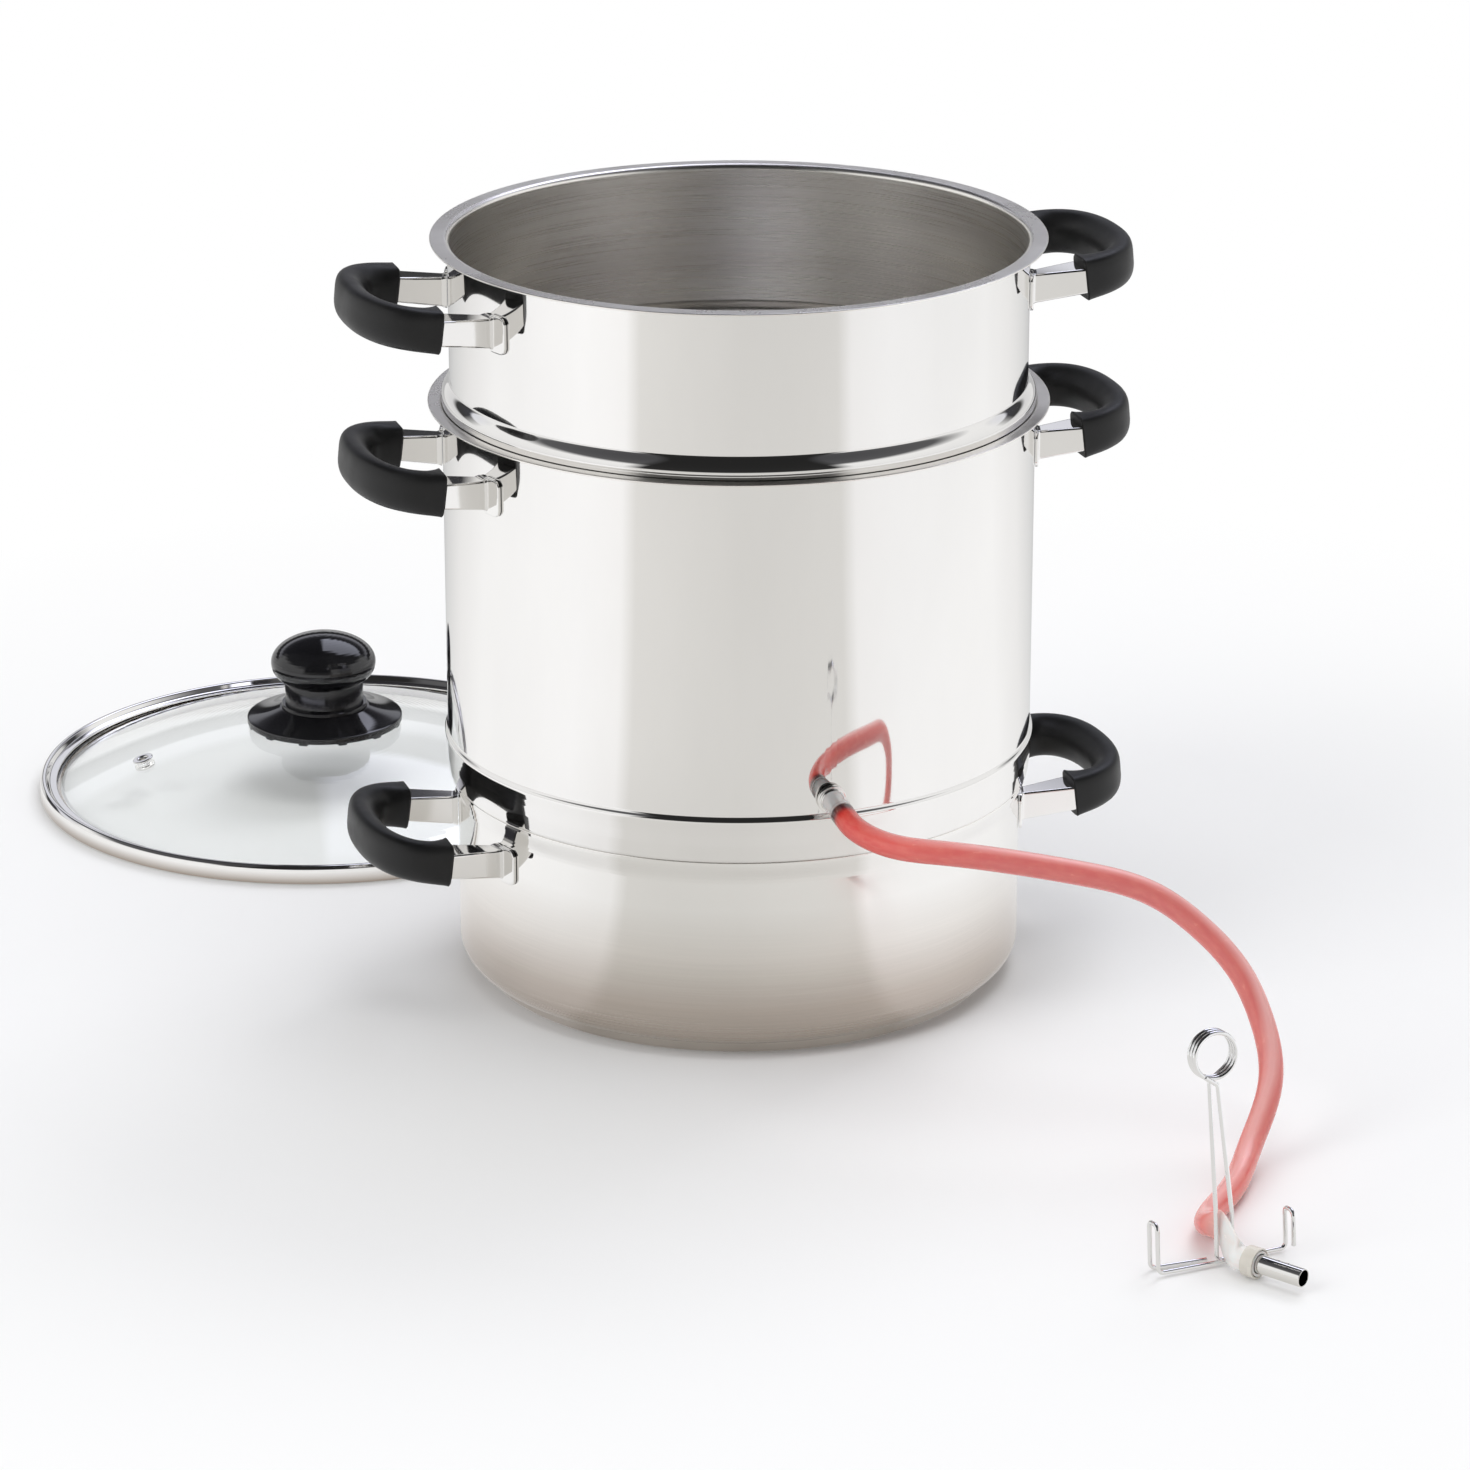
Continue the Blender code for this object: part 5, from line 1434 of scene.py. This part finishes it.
def lamp(name, at, size, power):
    data = bpy.data.lights.new(name, "AREA")
    data.shape = "RECTANGLE"
    data.size, data.size_y = size
    data.energy = power
    obj = bpy.data.objects.new(name, data)
    obj.location = at
    obj.rotation_euler = (Vector(LAMP_TARGET) - Vector(at)).to_track_quat("-Z", "Y").to_euler()
    obj.visible_glossy = False
    bpy.context.scene.collection.objects.link(obj)


def room():
    """A white room as metal sees it: bright side walls, a dark one behind the camera, a lit one opposite.

    Matt things are lit by a share of it, and by plain white for the rest.
    """
    world = bpy.data.worlds.new("studio")
    bpy.context.scene.world = world
    world.use_nodes = True
    nodes = Nodes(world.node_tree)
    nodes.tree.nodes.clear()
    parts = nodes.parts("Generated")
    share, side = nodes.heading(parts)
    height = parts["Z"]
    stops = ((0.0, 0.95), (0.50, 1.02), (0.62, (0.12, 0.12, 0.125)), (1.0, (0.04, 0.04, 0.045)))
    sides = nodes.ramp(height, stops)
    stops = ((0.0, (0.80, 0.79, 0.77)), (0.07, (0.72, 0.71, 0.69)), (0.16, 0.03), (1.0, 0.02))
    front = nodes.ramp(height, stops)
    stops = (
        (0.0, 0.85), (0.13, (0.78, 0.78, 0.79)), (0.18, 0.05), (0.298, (0.06, 0.06, 0.07)),
        (0.318, (0.84, 0.85, 0.92)), (0.39, (0.74, 0.75, 0.83)), (0.45, (0.14, 0.14, 0.16)),
        (0.54, (0.05, 0.05, 0.06)), (1.0, 0.02),
    )
    from_low = nodes.spread(height, 0.0, 1.0, *WINDOW_LOW_AT)
    to_high = nodes.spread(height, 1.0, 0.0, *WINDOW_TOP_AT)
    from_side = nodes.spread(side, 0.0, 1.0, *WINDOW_SIDE_AT)
    window = nodes.times(nodes.times(from_low, to_high), from_side)
    behind = nodes.mix(window, nodes.ramp(height, stops), WINDOW_TONE)
    seen = nodes.mix(nodes.spread(share, 0.0, 1.0, *BACK_WALL_AT), sides, behind)
    seen = nodes.mix(nodes.spread(share, 1.0, 0.0, *FRONT_WALL_AT), seen, front)
    rays = nodes.add("ShaderNodeLightPath").outputs
    plain, mirrored, white = (
        nodes.add("ShaderNodeBackground", {"Color": colour, "Strength": strength}).outputs["Background"]
        for colour, strength in ((WHITE, AMBIENT), (seen, 1.0), (WHITE, 1.0))
    )
    lit_share = nodes.math("MAXIMUM", rays["Is Glossy Ray"], ROOM_SHARE)
    shader = nodes.mix_shader(lit_share, plain, mirrored)
    straight = nodes.math("MAXIMUM", rays["Is Camera Ray"], rays["Is Transmission Ray"])
    shader = nodes.mix_shader(straight, shader, white)
    nodes.add("ShaderNodeOutputWorld", {"Surface": shader})
    for settings in LAMPS:
        lamp(*settings)


set_camera()
POLISHED = polished_steel()
SATIN_AND_SHADE = satin_and_shade_steel()
BRUSHED = brushed_steel()
# Painted light: the inside faces get a lighter, warmer copy of the brushed steel than the outer one, to
# brighten their shade.
LIT_INSIDE = brushed_steel("brushed_inside_steel", (0.45, 0.45, 75), (0.93, 0.895, 0.855))
# Painted shade: the ring's steel turns browner towards its lower edge, up to about 6 mm.
RING = polished_steel("ring_steel", (0.0005, 0.0062))
DISC = disc_steel()
WIRE = wire_steel()
SOFT = soft_black()
GLOSS = gloss_black()

hose, hose_path = juice_hose(hose_silicone())
outlet = hose_outlet(POLISHED, collar_clear())
clamp_arms = hose_clamp(WIRE)
water_pot(SATIN_AND_SHADE, LIT_INSIDE, DISC)
juice_kettle(POLISHED, LIT_INSIDE, BRUSHED)
fruit_basket(POLISHED, LIT_INSIDE)
for pot, body, radius, top in (
    ("water_pot", "water_pot", WATER_R, WATER_H),
    ("kettle", "juice_kettle", KETTLE_R, KETTLE_TOP_Z),
    ("basket", "fruit_basket", BASKET_R, BASKET_TOP_Z),
):
    handles(pot, body, radius, top, POLISHED, SOFT)
juice_spout(POLISHED)
lid_ring(RING)
lid_glass(clear_glass())
lid_vent(POLISHED)
knob_skirt(GLOSS)
lid_knob(GLOSS)
knob_screw(BRUSHED, washer_rubber())
stage_floor()
room()
bpy.context.scene.view_settings.view_transform = "Standard"
